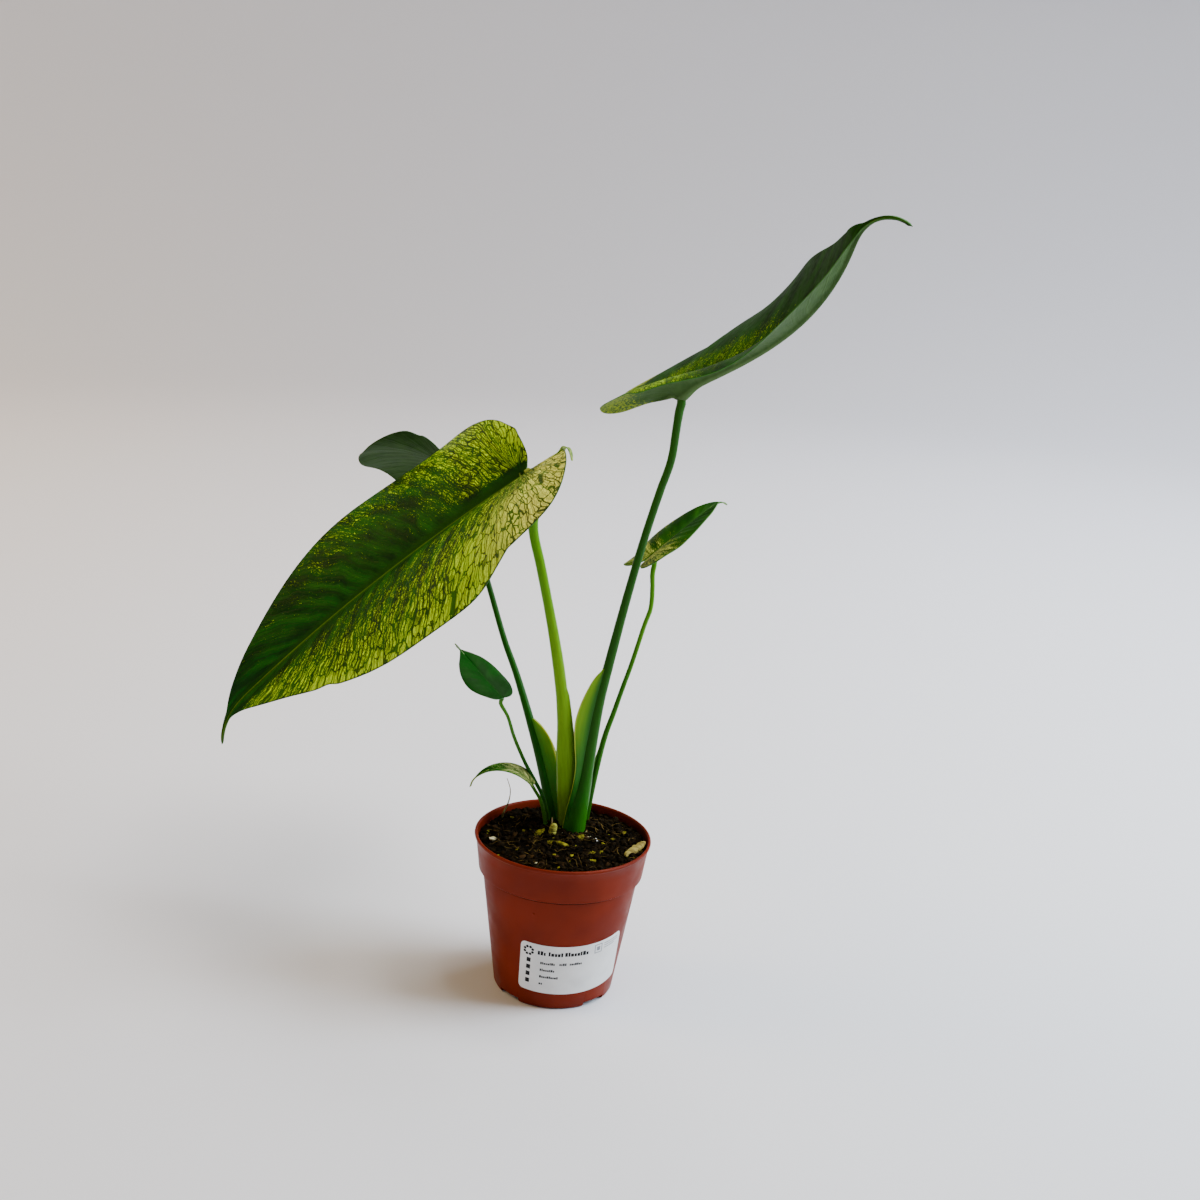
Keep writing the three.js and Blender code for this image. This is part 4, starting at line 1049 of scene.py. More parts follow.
def leaf_top(name, look):
    """The upper face: dark green with branching veins and painted shade in the furrows along them, sprinkled
    with yellow and netted with cream
    """
    finish, tree, shader = start_material(name, look["green"], look["rough"])
    veins = read_map(tree, "veins")
    flat = read_map(tree, "flat")
    fleck, pale, cream, rib, rim = [read_share(tree, key) for key in ("fleck", "pale", "cream", "rib", "rim")]
    size = look["size"]
    parts = split(tree, veins)
    sway = reckon(tree, "SUBTRACT", grain(tree, flat, 0.5 / size, 2), 0.5)
    shiver = reckon(tree, "SUBTRACT", grain(tree, flat, 2.4 / size, 2), 0.5)
    across = reckon(tree, "MULTIPLY_ADD", sway, 1.2 * size, parts[0])
    across = reckon(tree, "MULTIPLY_ADD", shiver, 0.14 * size, across)
    outward = reckon(tree, "MULTIPLY_ADD", shiver, 0.8 * size, parts[1])

    def lines(spacing, low, high):
        """Side veins, a spacing apart"""
        return step_up(tree, times(tree, beat_of(tree, across, spacing), spacing), low, high, 1.0, 0.0)

    def spot(wide, tall, start=0.0):
        """The place among the veins, measured in cells of this size"""
        links = {0: reckon(tree, "DIVIDE", across, wide), 1: reckon(tree, "DIVIDE", outward, tall), 2: start}
        return add_node(tree, "ShaderNodeCombineXYZ", links).outputs[0]

    def net(wide, tall, low, high, start=0.0):
        """A net of small veins round cells of this size"""
        links = {"Vector": spot(wide, tall, start), "Scale": 1.0}
        cells = add_node(tree, "ShaderNodeTexVoronoi", links, feature="DISTANCE_TO_EDGE")
        return step_up(tree, cells.outputs["Distance"], low, high, 1.0, 0.0)

    primary = lines(1.5 * size, 0.025 * size, 0.085 * size)
    second = lines(0.75 * size, 0.01 * size, 0.07 * size)
    # Painted shade: the furrows along the side veins, where the blade dips between its puckers, are darkened
    # as if shaded; the same mask also thins the yellow specks there
    furrow_shade_and_gap = lines(1.5 * size, 0.1 * size, 0.7 * size)
    fine = lines(0.38 * size, 0.02 * size, 0.075 * size)
    small_net = net(0.26 * size, 0.36 * size, 0.03, 0.16)
    wide_net = net(0.62 * size, 0.9 * size, 0.03, 0.1, 3.0)
    cloud = step_up(tree, grain(tree, spot(1.2, 3.0, 5.0), 1.0, 3), 0.32, 0.68)
    green = blend_colour(tree, cloud, look["dark"], look["green"])
    # Painted shade in the furrows along the side veins
    green = blend_colour(tree, times(tree, furrow_shade_and_gap, look.get("furrow_shade", 0.25)), green, look["dark"])
    hairline = reckon(tree, "MAXIMUM", times(tree, fine, 0.5), primary)
    green = blend_colour(tree, times(tree, hairline, look.get("hairlines", 0.5)), green, look["dark"])

    clumps = grain(tree, spot(0.6 * size, 1.8 * size, 1.0), 1.0, 2, 0.6)
    want = reckon(tree, "MULTIPLY_ADD", reckon(tree, "SUBTRACT", clumps, 0.5), look["clump"], fleck)
    want = reckon(tree, "MULTIPLY_ADD", furrow_shade_and_gap, -look.get("stripe", 0.1), want)
    dots = grain(tree, spot(0.075 * size, 0.14 * size), 1.0, 2.5, 0.65)
    over = reckon(tree, "MULTIPLY_ADD", want, 0.34, reckon(tree, "SUBTRACT", dots, 0.72))
    speck = step_up(tree, over, 0.0, 0.06)
    speck = times(tree, speck, reckon(tree, "MULTIPLY_ADD", small_net, -0.55, 1.0))
    speck = times(tree, speck, reckon(tree, "MULTIPLY_ADD", fine, -0.85, 1.0))

    broad = grain(tree, spot(0.9 * size, 1.3 * size, 7.0), 1.0, 3, 0.65)
    patch = step_up(tree, reckon(tree, "MULTIPLY_ADD", broad, 0.9, pale), 0.8, 1.12)
    scratch = times(tree, step_up(tree, dots, 0.36, 0.5, 1.0, 0.0), 0.4)
    patch = times(tree, patch, reckon(tree, "SUBTRACT", 1.0, scratch))
    cover = reckon(tree, "MAXIMUM", speck, patch)
    dark_lines = reckon(tree, "MAXIMUM", wide_net, primary)
    dark_lines = reckon(tree, "MAXIMUM", dark_lines, times(tree, second, 0.85))
    dark_lines = reckon(tree, "MAXIMUM", dark_lines, times(tree, small_net, 0.32))
    dark_lines = reckon(tree, "MAXIMUM", dark_lines, times(tree, fine, 0.42))
    cover = times(tree, cover, reckon(tree, "MULTIPLY_ADD", dark_lines, -look["net"], 1.0))
    yellow = blend_colour(tree, cream, look["fleck"], look["pale"])
    colour = blend_colour(tree, cover, green, yellow)

    band = times(tree, step_up(tree, rib, 0.05, 0.7), 0.92)
    colour = blend_colour(tree, band, colour, look["rib"])
    crest = step_up(tree, rib, 0.95, 0.998, 0.0, 0.22)
    colour = blend_colour(tree, crest, colour, look["fleck"])
    line = step_up(tree, rim, 0.2, 1.1, 0.9, 0.0)
    colour = blend_colour(tree, line, colour, look["rim"])
    tree.links.new(colour, shader.inputs["Base Color"])
    relief = reckon(tree, "MULTIPLY_ADD", fine, -0.35, times(tree, small_net, -0.25))
    relief = reckon(tree, "MULTIPLY_ADD", dark_lines, -0.4, relief)
    relief = reckon(tree, "MULTIPLY_ADD", grain(tree, flat, 14 / size, 3), 0.2, relief)
    raise_bumps(tree, shader, relief, look["relief"], 0.0006)
    rough = look["rough"]
    gloss = step_up(tree, grain(tree, flat, 3 / size, 3), 0.3, 0.7, rough - 0.05, rough + 0.07)
    tree.links.new(gloss, shader.inputs["Roughness"])
    shader.inputs["Specular IOR Level"].default_value = look["specular"]
    return finish


def leaf_under(name, green, light, vein, lined=0.5, fade=(6, 20), through=None):
    """The matte under face: grey-green with lighter raised veins, its midrib thinning out over fade cm"""
    finish, tree, shader = start_material(name, green, 0.7)
    shader.inputs["Specular IOR Level"].default_value = 0.05
    veins = read_map(tree, "veins")
    flat = read_map(tree, "flat")
    rib = read_share(tree, "rib")
    parts = split(tree, veins)
    sway = reckon(tree, "SUBTRACT", grain(tree, flat, 0.45, 2), 0.5)
    across = reckon(tree, "MULTIPLY_ADD", sway, 1.3, parts[0])
    primary = step_up(tree, beat_of(tree, across, 1.5), 0.02, 0.1, 1.0, 0.0)
    fine = step_up(tree, beat_of(tree, across, 0.36), 0.03, 0.25, 1.0, 0.0)
    cloud = step_up(tree, grain(tree, flat, 1.3, 3), 0.3, 0.7)
    colour = blend_colour(tree, cloud, green, light)
    colour = blend_colour(tree, times(tree, fine, 0.5 * lined), colour, vein)
    colour = blend_colour(tree, times(tree, primary, lined), colour, vein)
    down = split(tree, flat)[1]
    thick = times(tree, step_up(tree, rib, 0.2, 0.7), step_up(tree, down, fade[0], fade[1], 1.0, 0.1))
    colour = blend_colour(tree, thick, colour, vein)
    if through:
        fleck = read_share(tree, "fleck")
        dots = reckon(tree, "ADD", grain(tree, flat, 6, 2.5, 0.65), times(tree, fleck, 0.3))
        colour = blend_colour(tree, step_up(tree, dots, 0.72, 0.8, 0.0, 0.75), colour, through)
    tree.links.new(colour, shader.inputs["Base Color"])
    relief = reckon(tree, "MULTIPLY_ADD", primary, 0.6, times(tree, fine, 0.25))
    raise_bumps(tree, shader, relief, 0.5, 0.0006)
    return finish


def plain_rim(name, colour):
    """The cut edge of a blade"""
    finish, tree, shader = start_material(name, colour, 0.45)
    flat = read_map(tree, "flat")
    shade = [value * 0.7 for value in colour[:3]] + [1]
    tree.links.new(blend_colour(tree, grain(tree, flat, 3, 2), shade, colour), shader.inputs["Base Color"])
    return finish


def add_strip(name, route, width, light, dark):
    """The curled end of a lobe: a thin strip bent along its route and narrowed to its end"""
    let_go()
    bpy.ops.mesh.primitive_grid_add(x_subdivisions=12, y_subdivisions=40, size=1)
    strip = bpy.context.object
    strip.name = name
    places = follow(route, 41)[0]
    across = np.array((0.5, 0.82, -0.28))
    for vertex in strip.data.vertices:
        row = int(round((vertex.co.y + 0.5) * 40))
        share = row / 40
        half = width * (1 - 0.75 * share ** 2)
        cupped = 0.6 * (2 * vertex.co.x) ** 2
        place = places[row] + vertex.co.x * half * across + (0, 0, cupped)
        vertex.co = Vector(place.tolist()) * MM
    strip.data.update()
    thicken(strip, 0.6 * MM, 0)
    smooth(strip, 60)
    finish, tree, shader = start_material(name, light, 0.5)
    place = object_place(tree)
    cloud = step_up(tree, grain(tree, place, 420, 3), 0.4, 0.6)
    tree.links.new(blend_colour(tree, cloud, light, dark), shader.inputs["Base Color"])
    strip.data.materials.append(finish)
    return strip


# In a look, size scales the pattern, clump gathers the yellow, net cuts it up with dark veins, stripe and
# hairlines follow the side veins, and painted shade darkens the furrows along them
large_look = {
    "dark": tint(4, 46, 0), "green": tint(18, 92, 0), "fleck": tint(202, 252, 0),
    "pale": tint(240, 250, 112), "rib": tint(30, 78, 0), "rim": tint(4, 34, 12),
    "rough": 0.45, "specular": 0.08, "relief": 0.5, "size": 1.0,
    "clump": 0.7, "net": 0.95, "stripe": 0.12, "furrow_shade": 0.22,
}
large_blade = grow_blade("large_blade", LARGE, large_masks, [
    leaf_top("large_leaf_top", large_look),
    leaf_under("large_leaf_under", tint(60, 98, 22), tint(88, 122, 34), tint(140, 160, 66), 0.4, (3, 14)),
    plain_rim("large_leaf_rim", tint(60, 110, 30)),
])
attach(large_blade, "root")
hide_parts("leaf_large_blade")

lobe_hook = add_strip("lobe_hook", [
    (-22.5, -36, 374.5), (-20.7, -36, 377.6), (-17.8, -36, 381), (-15.9, -36, 384.3), (-13.7, -36, 384.1),
    (-11.9, -36, 381.4), (-10.7, -36, 376.5)], 6.4, tint(158, 180, 84), tint(104, 142, 48))
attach(lobe_hook, "root")

# High leaf: blade
# An older leaf, high at the right: a shallow trough seen nearly edge-on, so that the inside of its far half
# and the grey-green under face of its near half show. It is dark green with yellow specks at its rear, and
# its base is swollen over the stalk.
HIGH = {
    "at": (51.7, -12.6, 419.9), "heading": -32, "turn": -45.2, "tip_turn": 66.9, "rise": 29.3, "droop": 5.3,
    "bow": 39.5, "hook": 111.7, "boss": 4.5, "roll": 12, "twist": 59.5, "length": 194.9, "tip": 26,
    "lobe": 46.1, "half_width": 61.8, "ripple": (1.2, 5), "grid": (44, 180), "quilt": (30, 0.08),
    "rib": {"width": 2.6, "groove": 0.4, "band": 2.6, "depth": 2.0},
    "left": {"width": 1.09, "lobe": 1.19, "fold": 26.3, "curl": 29.7, "back": -2.6},
    "right": {"width": 0.92, "lobe": 0.82, "neck": 0.95, "shoulder": 1.09, "fold": 35.8, "curl": 36.7,
              "back": -12.9},
}


def high_masks(leaf, x, y, t):
    """Specks run from the rear lobes up the middle of the far half, thinning out towards the tip"""
    along = y / leaf["length"]
    far = x > 0
    rear = 1 - rising(along, -0.05, 0.3)
    middle = rising(t, 0.02, 0.1) * (1 - rising(t, 0.3, 0.62))
    on_middle = 0.6 * middle * (1 - rising(along, 0.25, 0.8))
    fleck_far = np.maximum(on_middle, 0.8 * rear * (1 - rising(t, 0.35, 0.75)))
    fleck_near = 0.75 * (1 - rising(along, 0.1, 0.5)) * rising(t, 0.2, 0.8) + 0.15
    fleck = np.where(far, fleck_far, fleck_near) - 0.3 * rising(along, 0.6, 0.8)
    fleck -= np.exp(-(x ** 2 + y ** 2) / 14 ** 2)
    pale = 0.55 * (1 - rising(along, -0.25, -0.05)) * rising(t, 0.5, 0.95)
    return {"fleck": fleck, "pale": pale, "cream": 0.7 * (1 - rising(along, -0.25, -0.05))}


high_look = {
    "dark": tint(10, 42, 0), "green": tint(24, 74, 0), "fleck": tint(160, 206, 0),
    "pale": tint(196, 216, 70), "rib": tint(28, 72, 2), "rim": tint(26, 78, 4),
    "rough": 0.5, "specular": 0.03, "relief": 0.04, "size": 1.0,
    "clump": 0.6, "net": 0.5, "furrow_shade": 0.1, "hairlines": 0.08,
}
high_blade = grow_blade("high_blade", HIGH, high_masks, [
    leaf_top("high_leaf_top", high_look),
    leaf_under("high_leaf_under", tint(50, 76, 34), tint(60, 86, 42), tint(76, 102, 54), 0.2, (3, 14),
               through=tint(140, 156, 30)),
    plain_rim("high_leaf_rim", tint(60, 120, 40)),
])
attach(high_blade, "root")
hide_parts("leaf_high_blade")

# Small right leaf: blade
# A small leaf behind the high stalk, its pointed tip hooked down. It is dark green, with blotches of yellow
# and cream at its base and along its lower edge.
SMALL = {
    "at": (44.9, 38, 300), "heading": 40.8, "turn": 6.7, "rise": 32.5, "droop": 13.6, "hook": 68.8,
    "roll": -10.9, "twist": 8.8, "length": 71.4, "tip": 7.6, "lobe": 15.4, "half_width": 21,
    "ripple": (0.5, 4), "grid": (22, 80), "quilt": (7, 0.15),
    "rib": {"width": 1.2, "groove": 0.2, "band": 1.0, "depth": 0.9},
    "left": {"fold": 18.8, "curl": 49.9, "back": 8},
    "right": {"fold": 20.9, "curl": 27.1, "back": 2.8},
}


def small_masks(leaf, x, y, t):
    """Cream blotches at the base and along the lower edge"""
    along = y / leaf["length"]
    base = 1 - rising(along, 0.05, 0.5)
    edge = rising(t, 0.5, 1) * (1 - rising(along, 0.5, 0.85)) * (x > 0)
    return {"fleck": np.maximum(0.66 * base, 0.6 * edge),
            "pale": np.maximum(0.4 * base, 0.34 * edge),
            "cream": 0.3 + 0.7 * base}


small_look = {
    "dark": tint(8, 46, 0), "green": tint(28, 82, 2), "fleck": tint(206, 232, 60),
    "pale": tint(236, 244, 110), "rib": tint(28, 78, 2), "rim": tint(44, 96, 12),
    "rough": 0.46, "specular": 0.05, "relief": 0.1, "size": 0.75,
    "clump": 1.2, "net": 0.35, "hairlines": 0.2,
}
small_blade = grow_blade("small_blade", SMALL, small_masks, [
    leaf_top("small_leaf_top", small_look),
    leaf_under("small_leaf_under", tint(50, 88, 34), tint(66, 104, 44), tint(96, 130, 64)),
    plain_rim("small_leaf_rim", tint(70, 120, 50)),
])
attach(small_blade, "root")
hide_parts("leaf_small_right_blade")

# Back leaf: blade
# An older leaf that faces away behind the large one, so that only a lobe of its matte grey-green under face
# shows from the front. Its upper face is like the high leaf's, with fewer specks.
BACK = {
    "at": (-93.4, 114.2, 328.2), "heading": 93, "turn": 14.8, "rise": -14.7, "droop": 28, "hook": 25,
    "roll": 17, "twist": 0, "length": 150, "tip": 20, "lobe": 51.4, "half_width": 61,
    "ripple": (1.6, 5), "grid": (34, 130), "quilt": (14, 0.15),
    "rib": {"width": 2.6, "groove": 0.4, "band": 2.6, "depth": 1.8},
    "left": {"width": 1.22, "fold": 16, "curl": 43.8, "back": 32.4, "dents": [(0.217, 0.014, 0.06)]},
    "right": {"fold": 16, "curl": 43.8, "back": 32.4},
}


def back_masks(leaf, x, y, t):
    """A dark leaf with a few specks at its margin"""
    return {"fleck": 0.15 + 0.35 * rising(t, 0.5, 1), "pale": 0.2 * rising(t, 0.8, 1), "cream": 0 * x}


back_blade = grow_blade("back_blade", BACK, back_masks, [
    leaf_top("back_leaf_top", dict(high_look, size=0.85)),
    leaf_under("back_leaf_under", tint(28, 56, 10), tint(36, 66, 16), tint(44, 74, 22), 0.15),
    plain_rim("back_leaf_rim", tint(60, 100, 50)),
])
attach(back_blade, "root")
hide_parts("leaf_back_blade")

# Small plain leaf: blade
# The oldest leaf, small and shield-shaped, held out low on the left. It is thin and smooth, and deep green
# all over, without a speck.
PLAIN = {
    "at": (-46.9, 6, 202.8), "heading": 138.7, "turn": -7.7, "rise": 26, "droop": 4.3, "hook": 5,
    "roll": -1.5, "twist": -3.7, "length": 51, "tip": 6.6, "lobe": 3.0, "half_width": 17.2,
    "ripple": (0.3, 3), "grid": (20, 70), "quilt": (6, 0.04),
    "rib": {"width": 0.9, "groove": 0.2, "band": 0.7, "depth": 0.6},
    "outline": [(0, 0), (0.14, -0.3), (0.3, -0.35), (0.46, -0.1), (0.64, 0.04), (0.82, 0.13), (0.95, 0.24),
                (1, 0.37), (0.9, 0.54), (0.64, 0.71), (0.3, 0.86), (0.03, 1)],
    "left": {"fold": 18.8, "curl": 40.4, "back": 0},
    "right": {"fold": 16.2, "curl": 47.8, "back": 0},
}


def plain_masks(leaf, x, y, t):
    """No specks at all"""
    return {"fleck": 0 * x - 0.6, "pale": 0 * x - 0.5, "cream": 0 * x}


plain_look = {
    "dark": tint(4, 54, 0), "green": tint(8, 70, 2), "fleck": tint(120, 150, 60),
    "pale": tint(170, 190, 110), "rib": tint(6, 64, 2), "rim": tint(8, 60, 6),
    "rough": 0.46, "specular": 0.07, "relief": 0.04, "size": 0.4,
    "clump": 0.0, "net": 0.0, "stripe": 0.0, "furrow_shade": 0.1, "hairlines": 0.12,
}
plain_blade = grow_blade("plain_blade", PLAIN, plain_masks, [
    leaf_top("plain_leaf_top", plain_look),
    leaf_under("plain_leaf_under", tint(70, 110, 66), tint(92, 132, 84), tint(120, 150, 100)),
    plain_rim("plain_leaf_rim", tint(60, 120, 50)),
])
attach(plain_blade, "root")
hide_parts("leaf_plain_blade")

# Curled leaf: blade
# The smallest leaf, a narrow soft strip of cream and green that arches over just above the mix, with its
# tip pointing down.
CURLED = {
    "at": (-25, 16, 139), "heading": 184, "turn": 12, "rise": 52, "droop": 96, "hook": 30,
    "roll": -12, "twist": -10, "length": 44, "tip": 6, "lobe": 3, "half_width": 6.4,
    "ripple": (0.3, 3), "grid": (12, 60), "quilt": (4, 0.05),
    "rib": {"width": 0.7, "groove": 0.1, "band": 0.5, "depth": 0.5},
    "left": {"fold": 30, "curl": 30, "back": 0},
    "right": {"fold": 30, "curl": 30, "back": 0},
}


def curled_masks(leaf, x, y, t):
    """Cream streaks all along, more towards the stalk"""
    along = y / leaf["length"]
    return {"fleck": 0.5 - 0.4 * rising(along, 0.5, 1),
            "pale": 0.46 - 0.3 * rising(along, 0.3, 0.9),
            "cream": 0 * x + 1}


curled_look = {
    "dark": tint(10, 66, 0), "green": tint(26, 104, 0), "fleck": tint(222, 234, 90),
    "pale": tint(240, 244, 150), "rib": tint(40, 112, 4), "rim": tint(40, 104, 6),
    "rough": 0.46, "specular": 0.05, "relief": 0.1, "size": 0.6,
    "clump": 1.2, "net": 0.2, "hairlines": 0.1,
}
curled_blade = grow_blade("curled_blade", CURLED, curled_masks, [
    leaf_top("curled_leaf_top", curled_look),
    leaf_under("curled_leaf_under", tint(40, 112, 4), tint(72, 134, 14), tint(150, 170, 80), 0.3),
    plain_rim("curled_leaf_rim", tint(90, 130, 50)),
])
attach(curled_blade, "root")
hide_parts("leaf_curled_blade")

# Large leaf: stalk
# A thick juicy yellow-green stalk that comes up between the high leaf's sheath wings. It is fullest low
# down, where the next leaf is folded inside it, and thin under its blade.


def under_blade(leaf, neck):
    """The last two places of a stalk's way, square under the blade"""
    place, _, normal = midrib_of(leaf, leaf["left"])(np.array(0.0))
    return [tuple(place - normal * drop) for drop in (neck, 0.6)]


def stretch(tree, wrap, round_it, along_it):
    """The place on a stalk's or wing's map, scaled for marks drawn out along it"""
    links = {"Vector": wrap, "Scale": (round_it, along_it, 1)}
    return add_node(tree, "ShaderNodeMapping", links).outputs[0]


def repaint(tree, colour, value, saturation=1.0):
    """The same colour, lighter or darker, and more or less vivid"""
    links = {"Saturation": saturation, "Value": value, "Color": colour}
    return add_node(tree, "ShaderNodeHueSaturation", links).outputs[0]


def stalk_finish(name, low, middle, high, breaks):
    """A living stalk: its green changes between heights in m, with fine streaks along it and a moist gloss"""
    finish, tree, shader = start_material(name, middle, 0.38)
    wrap = read_map(tree, "UVMap")
    place = object_place(tree)
    height = split(tree, place)[2]
    wander = reckon(tree, "MULTIPLY_ADD", grain(tree, place, 40, 2), 0.03, height)
    colour = blend_colour(tree, step_up(tree, wander, breaks[0], breaks[1]), low, middle)
    colour = blend_colour(tree, step_up(tree, wander, breaks[2], breaks[3]), colour, high)
    streak = grain(tree, stretch(tree, wrap, 5.0, 0.35), 1.6, 3, 0.6)
    shade = repaint(tree, colour, 0.62)
    colour = blend_colour(tree, times(tree, step_up(tree, streak, 0.4, 0.62), 0.35), colour, shade)
    bright = repaint(tree, colour, 1.5, 0.85)
    dot = step_up(tree, grain(tree, stretch(tree, wrap, 3.0, 9.0), 2.2, 2), 0.68, 0.76)
    colour = blend_colour(tree, times(tree, dot, 0.3), colour, bright)
    tree.links.new(colour, shader.inputs["Base Color"])
    raise_bumps(tree, shader, streak, 0.25, 0.0005)
    shader.inputs["Specular IOR Level"].default_value = 0.1
    shader.inputs["Subsurface Weight"].default_value = 0.12
    shader.inputs["Subsurface Scale"].default_value = 0.004
    shader.inputs["Subsurface Radius"].default_value = (0.5, 1.0, 0.2)
    return finish


def large_form(share, u, v, radius):
    """The top of the closed sheath stands a little proud on the right"""
    sheath = rising(share, 0.03, 0.2) * (1 - rising(share, 0.415, 0.43))
    return u + sheath * 0.9 * np.clip(u / radius, 0, 1) ** 2, v


LARGE_ROUTE = [
    (1.5, 22, 92), (1.5, 21, 107), (-0.5, 20, 134), (-2.5, 18.5, 160.5), (-5, 16.5, 186.5), (-9.5, 14, 216),
    (-15, 11, 244.5), (-22.3, 7.6, 276.2), (-27.4, 5.4, 297), (-33.4, 4.6, 320), *under_blade(LARGE, 12),
]
LARGE_RADII = [5, 5.6, 6.4, 6.4, 5.0, 4.1, 3.9, 3.5, 3.2, 3.2, 3.2, 3.3, 3.9]
large_stalk = grow("large_stalk", LARGE_ROUTE, LARGE_RADII, sides=32, rings=120, shape=large_form)
large_stalk.data.materials.append(stalk_finish(
    "large_leafstalk", tint(104, 138, 0), tint(118, 166, 0), tint(88, 144, 0), (0.12, 0.17, 0.2, 0.33)))
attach(large_stalk, "root")
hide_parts("leaf_large_stalk")

# High leaf: stalk and its sheath
# A long dark green stalk. Its foot opens into two thin wings, the front one lying over the foot of the
# large leaf's stalk, which grew out from between them.
HIGH_ROUTE = [
    (6.5, 17, 92), (6.5, 16, 105), (8.6, 16.8, 122), (11.3, 17.2, 141), (14.6, 17.2, 176), (17.6, 16.6, 202),
    (22.2, 15.4, 229), (27.1, 12.6, 258), (32.9, 8.9, 290.5), (39.2, 4, 323), (46.2, -1.7, 354.5),
    (51.2, -5.5, 375), (52.7, -9, 396), (53.4, -11.2, 407), *under_blade(HIGH, 5),
]
HIGH_RADII = [8, 7.8, 6.3, 4.9, 4.5, 4.0, 3.6, 3.3, 3.1, 2.95, 2.8, 2.7, 2.6, 2.6, 2.6, 2.6, 2.7, 3.0]
high_stalk = grow("high_stalk", HIGH_ROUTE, HIGH_RADII, sides=32, rings=190)
high_stalk.data.materials.append(stalk_finish(
    "high_leafstalk", tint(32, 106, 0), tint(26, 84, 0), tint(32, 88, 2), (0.11, 0.2, 0.3, 0.44)))
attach(high_stalk, "root")
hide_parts("leaf_high_stalk")


def wing_finish(name, body, light, edge):
    """A thin sheath wing: light towards its top, streaked, with a bright dry edge"""
    finish, tree, shader = start_material(name, body, 0.42)
    wrap = read_map(tree, "UVMap")
    parts = split(tree, wrap)
    upper = times(tree, step_up(tree, parts[1], 0.4, 0.72), step_up(tree, parts[0], 0.1, 0.8))
    colour = blend_colour(tree, upper, body, light)
    streak = grain(tree, stretch(tree, wrap, 12.0, 1.6), 1.5, 3, 0.6)
    shade = repaint(tree, colour, 0.75)
    colour = blend_colour(tree, times(tree, step_up(tree, streak, 0.4, 0.62), 0.5), colour, shade)
    colour = blend_colour(tree, step_up(tree, parts[0], 0.86, 0.97), colour, edge)
    tree.links.new(colour, shader.inputs["Base Color"])
    raise_bumps(tree, shader, streak, 0.3, 0.0005)
    shader.inputs["Subsurface Weight"].default_value = 0.2
    shader.inputs["Subsurface Scale"].default_value = 0.003
    return finish


def add_wing(name, stalk_line, edge_line, bulge, finish):
    """A thin curved sheet from a line on the stalk to a free edge, both given from the foot to the top"""
    let_go()
    bpy.ops.mesh.primitive_grid_add(x_subdivisions=14, y_subdivisions=70, size=1)
    wing = bpy.context.object
    wing.name = name
    flat = vertex_places(wing.data)
    row = np.rint((flat[:, 1] + 0.5) * 70).astype(int)
    out = flat[:, 0] + 0.5
    inner = follow(stalk_line, 71)[0][row]
    outer = follow(edge_line, 71)[0][row]
    bow = (np.sin(np.pi * out * 0.8) * np.sin(np.pi * np.clip(row / 70, 0.04, 1) ** 0.8) ** 0.5)[:, None]
    placed = inner + (outer - inner) * out[:, None] + np.array(bulge) * bow
    wing.data.vertices.foreach_set("co", (placed * MM).ravel())
    put_uv(wing.data, "UVMap", out, row / 70)
    wing.data.update()
    face_outward(wing, weld=1e-5)
    thicken(wing, 0.7 * MM, 0)
    smooth(wing, 60)
    wing.data.materials.append(finish)
    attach(wing, "root")


def beside(route, radii, heights, turn, share=0.8):
    """Places on a stalk's side, at some heights, in a compass direction"""
    places = follow(route, 400)[0]
    size = np.interp(np.linspace(0, 1, 400), np.linspace(0, 1, len(radii)), radii)
    found = []
    for height in heights:
        i = int(np.argmin(np.abs(places[:, 2] - height)))
        reach = size[i] * share
        found.append((places[i][0] + reach * math.cos(math.radians(turn)),
                      places[i][1] + reach * math.sin(math.radians(turn)), height))
    return found


high_wing_finish = wing_finish("high_sheath", tint(28, 100, 0), tint(120, 172, 0), tint(178, 194, 60))
heights = (107, 120, 132, 145, 157, 171, 185, 195, 206, 218, 226)
add_wing("high_sheath_front", beside(HIGH_ROUTE, HIGH_RADII, heights, 235), [
    (-0.8, 15, 107), (0.8, 13.5, 120), (2.8, 12.5, 131.7), (4.7, 11.5, 144.8), (5.2, 11.2, 157.1),
    (3.6, 11.2, 171.2), (2.6, 11.5, 184.7), (4, 12, 194.7), (7.5, 12.5, 206.3), (13, 13, 218.6),
    (18.6, 13.5, 226),
], (-0.6, -1.2, 0), high_wing_finish)
add_wing("high_sheath_back", beside(HIGH_ROUTE, HIGH_RADII, heights, 110), [
    (0.5, 26.2, 107), (0.8, 26.6, 120), (1.6, 26.8, 132), (3.0, 26, 145), (5.0, 24.6, 157), (6.4, 23.2, 171),
    (8.0, 22, 185), (10.0, 20.8, 195), (12.4, 19.6, 206), (16.0, 18.4, 218), (19.5, 17.2, 226),
], (-0.4, 1.2, 0), high_wing_finish)

# Small right leaf: stalk
# A thin bright green stalk behind the high one, with a short narrow sheath wing up its foot. It leans to the
# right and bends back up under its blade.
SMALL_ROUTE = [
    (14, 28, 92), (14, 27.5, 106), (16, 28, 124.5), (18.5, 29, 143), (23.5, 30, 172), (28.4, 30.7, 190),
    (32.8, 31.4, 207), (37.7, 32.2, 225), (44.2, 33.7, 252.5), (47.4, 34.8, 264), (47.6, 36, 277),
    (46.8, 37, 288), *under_blade(SMALL, 5),
]
SMALL_RADII = [2.6, 2.5, 2.4, 2.1, 1.9, 1.7, 1.6, 1.55, 1.55, 1.6, 1.9]
small_stalk = grow("small_right_stalk", SMALL_ROUTE, SMALL_RADII, sides=20, rings=90)
small_stalk.data.materials.append(stalk_finish(
    "small_leafstalk", tint(22, 84, 0), tint(48, 114, 2), tint(80, 142, 12), (0.11, 0.2, 0.22, 0.27)))
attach(small_stalk, "root")
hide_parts("leaf_small_right_stalk")
small_wing_finish = wing_finish("small_sheath", tint(24, 88, 0), tint(60, 120, 6), tint(130, 146, 36))
heights = (107, 120, 132, 145, 155, 162, 168)
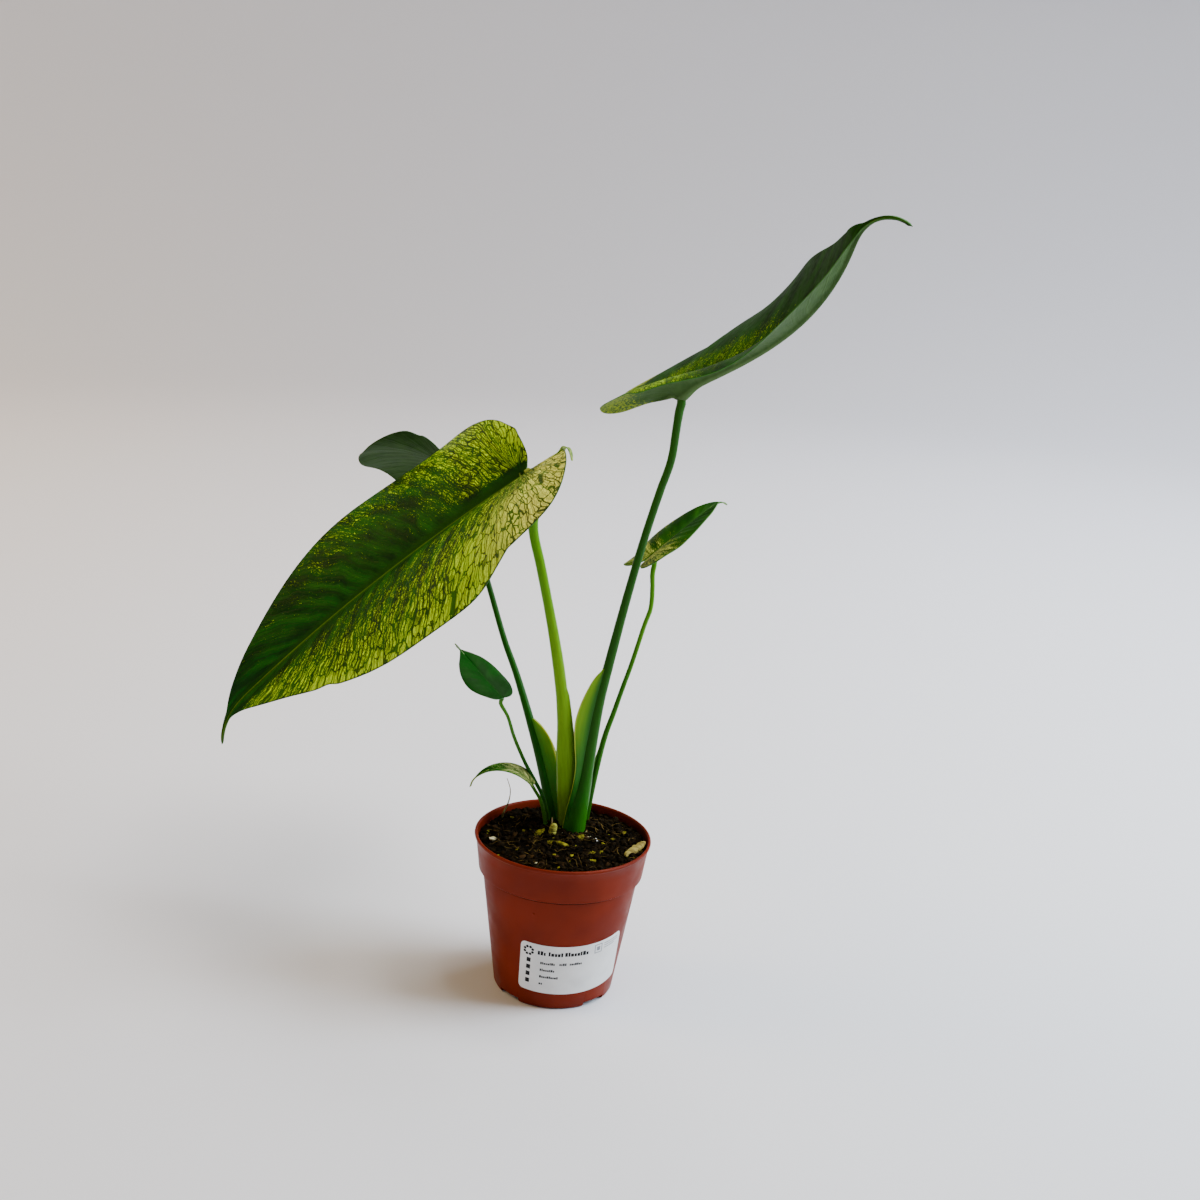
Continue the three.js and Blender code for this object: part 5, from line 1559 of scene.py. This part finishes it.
add_wing("small_sheath_left", beside(SMALL_ROUTE, SMALL_RADII, heights, 200, 0.6), [
    (9.5, 26, 107), (10.6, 26.6, 120), (13.0, 27, 132), (15.4, 27.6, 145), (17.6, 28.2, 155),
    (19.4, 28.6, 162), (21.4, 29.2, 168),
], (0, -0.8, 0), small_wing_finish)

# Back leaf: stalk
# A dark green stalk that leans away to the left behind the others. Its foot is a sheath that has opened in
# two wide wings with pale dry edges.
BACK_ROUTE = [
    (-6, 31, 92), (-7.5, 31, 106.5), (-12, 33, 123.5), (-20.5, 38, 151), (-29.1, 45, 174), (-41.2, 57, 203),
    (-51, 65, 223.5), (-66, 81, 260), (-81, 98, 294), *under_blade(BACK, 9),
]
BACK_RADII = [4.4, 4.3, 3.6, 2.9, 2.4, 2.1, 2.0, 2.0, 2.0, 2.3]
back_stalk = grow("back_stalk", BACK_ROUTE, BACK_RADII, sides=24, rings=110)
back_stalk.data.materials.append(stalk_finish(
    "back_leafstalk", tint(36, 112, 0), tint(20, 82, 0), tint(20, 66, 2), (0.11, 0.17, 0.2, 0.3)))
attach(back_stalk, "root")
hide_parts("leaf_back_stalk")
back_wing_finish = wing_finish("back_sheath", tint(48, 132, 0), tint(96, 164, 0), tint(178, 198, 50))
heights = (106, 118, 129.5, 143.7, 154.6, 164.4, 171.3, 176)
add_wing("back_sheath_front", beside(BACK_ROUTE, BACK_RADII, heights, 300), [
    (-4.4, 27, 106), (-4.8, 28.4, 118), (-5.7, 30, 129.5), (-7.4, 31.5, 143.7), (-9.9, 33.5, 154.6),
    (-14.1, 36, 164.4), (-19.5, 38, 171.3), (-26.6, 42.6, 176),
], (0.8, -0.9, 0), back_wing_finish)
add_wing("back_sheath_rear", beside(BACK_ROUTE, BACK_RADII, heights, 60), [
    (-1.0, 33, 106), (-1.8, 34.4, 118), (-3.5, 36.4, 129.5), (-6.6, 39.5, 143.7), (-10.5, 42, 154.6),
    (-16.0, 44, 164.4), (-22.0, 45.5, 171.3), (-28.0, 45.2, 176),
], (0.9, 0.6, 0), back_wing_finish)

# Small plain leaf: stalk
# A thin green stalk that comes up out of the mix in front of the back leaf's, and bends out to the left
# under its blade.
PLAIN_ROUTE = [
    (-9.5, 22.5, 92), (-10.5, 22.5, 105), (-16, 22, 127), (-22, 21, 138.5), (-28.5, 20, 150),
    (-34.6, 18.2, 163), (-38.6, 16.4, 173), (-43, 13.6, 187), *under_blade(PLAIN, 4),
]
PLAIN_RADII = [1.6, 1.5, 1.4, 1.35, 1.3, 1.25, 1.2, 1.4]
plain_stalk = grow("plain_stalk", PLAIN_ROUTE, PLAIN_RADII, sides=16, rings=60)
plain_stalk.data.materials.append(stalk_finish(
    "plain_leafstalk", tint(70, 124, 10), tint(30, 94, 14), tint(64, 122, 24), (0.11, 0.15, 0.16, 0.2)))
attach(plain_stalk, "root")
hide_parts("leaf_plain_stalk")

# Curled leaf: stalk
# The shortest stalk, thin and light green. It stands in the mix in front of the plain leaf's, and its blade
# grows straight on from its end.
CURLED_ROUTE = [(-11.5, 17, 92), (-12, 17, 105), (-17, 16.5, 126), (-21.5, 16.2, 133.8), (-24.6, 16, 138.6)]
curled_stalk = grow("curled_stalk", CURLED_ROUTE, [1.5, 1.4, 1.3, 1.2, 1.2], sides=16, rings=36)
curled_stalk.data.materials.append(stalk_finish(
    "curled_leafstalk", tint(84, 132, 6), tint(70, 126, 8), tint(60, 116, 14), (0.1, 0.12, 0.125, 0.14)))
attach(curled_stalk, "root")
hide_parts("leaf_curled_stalk")
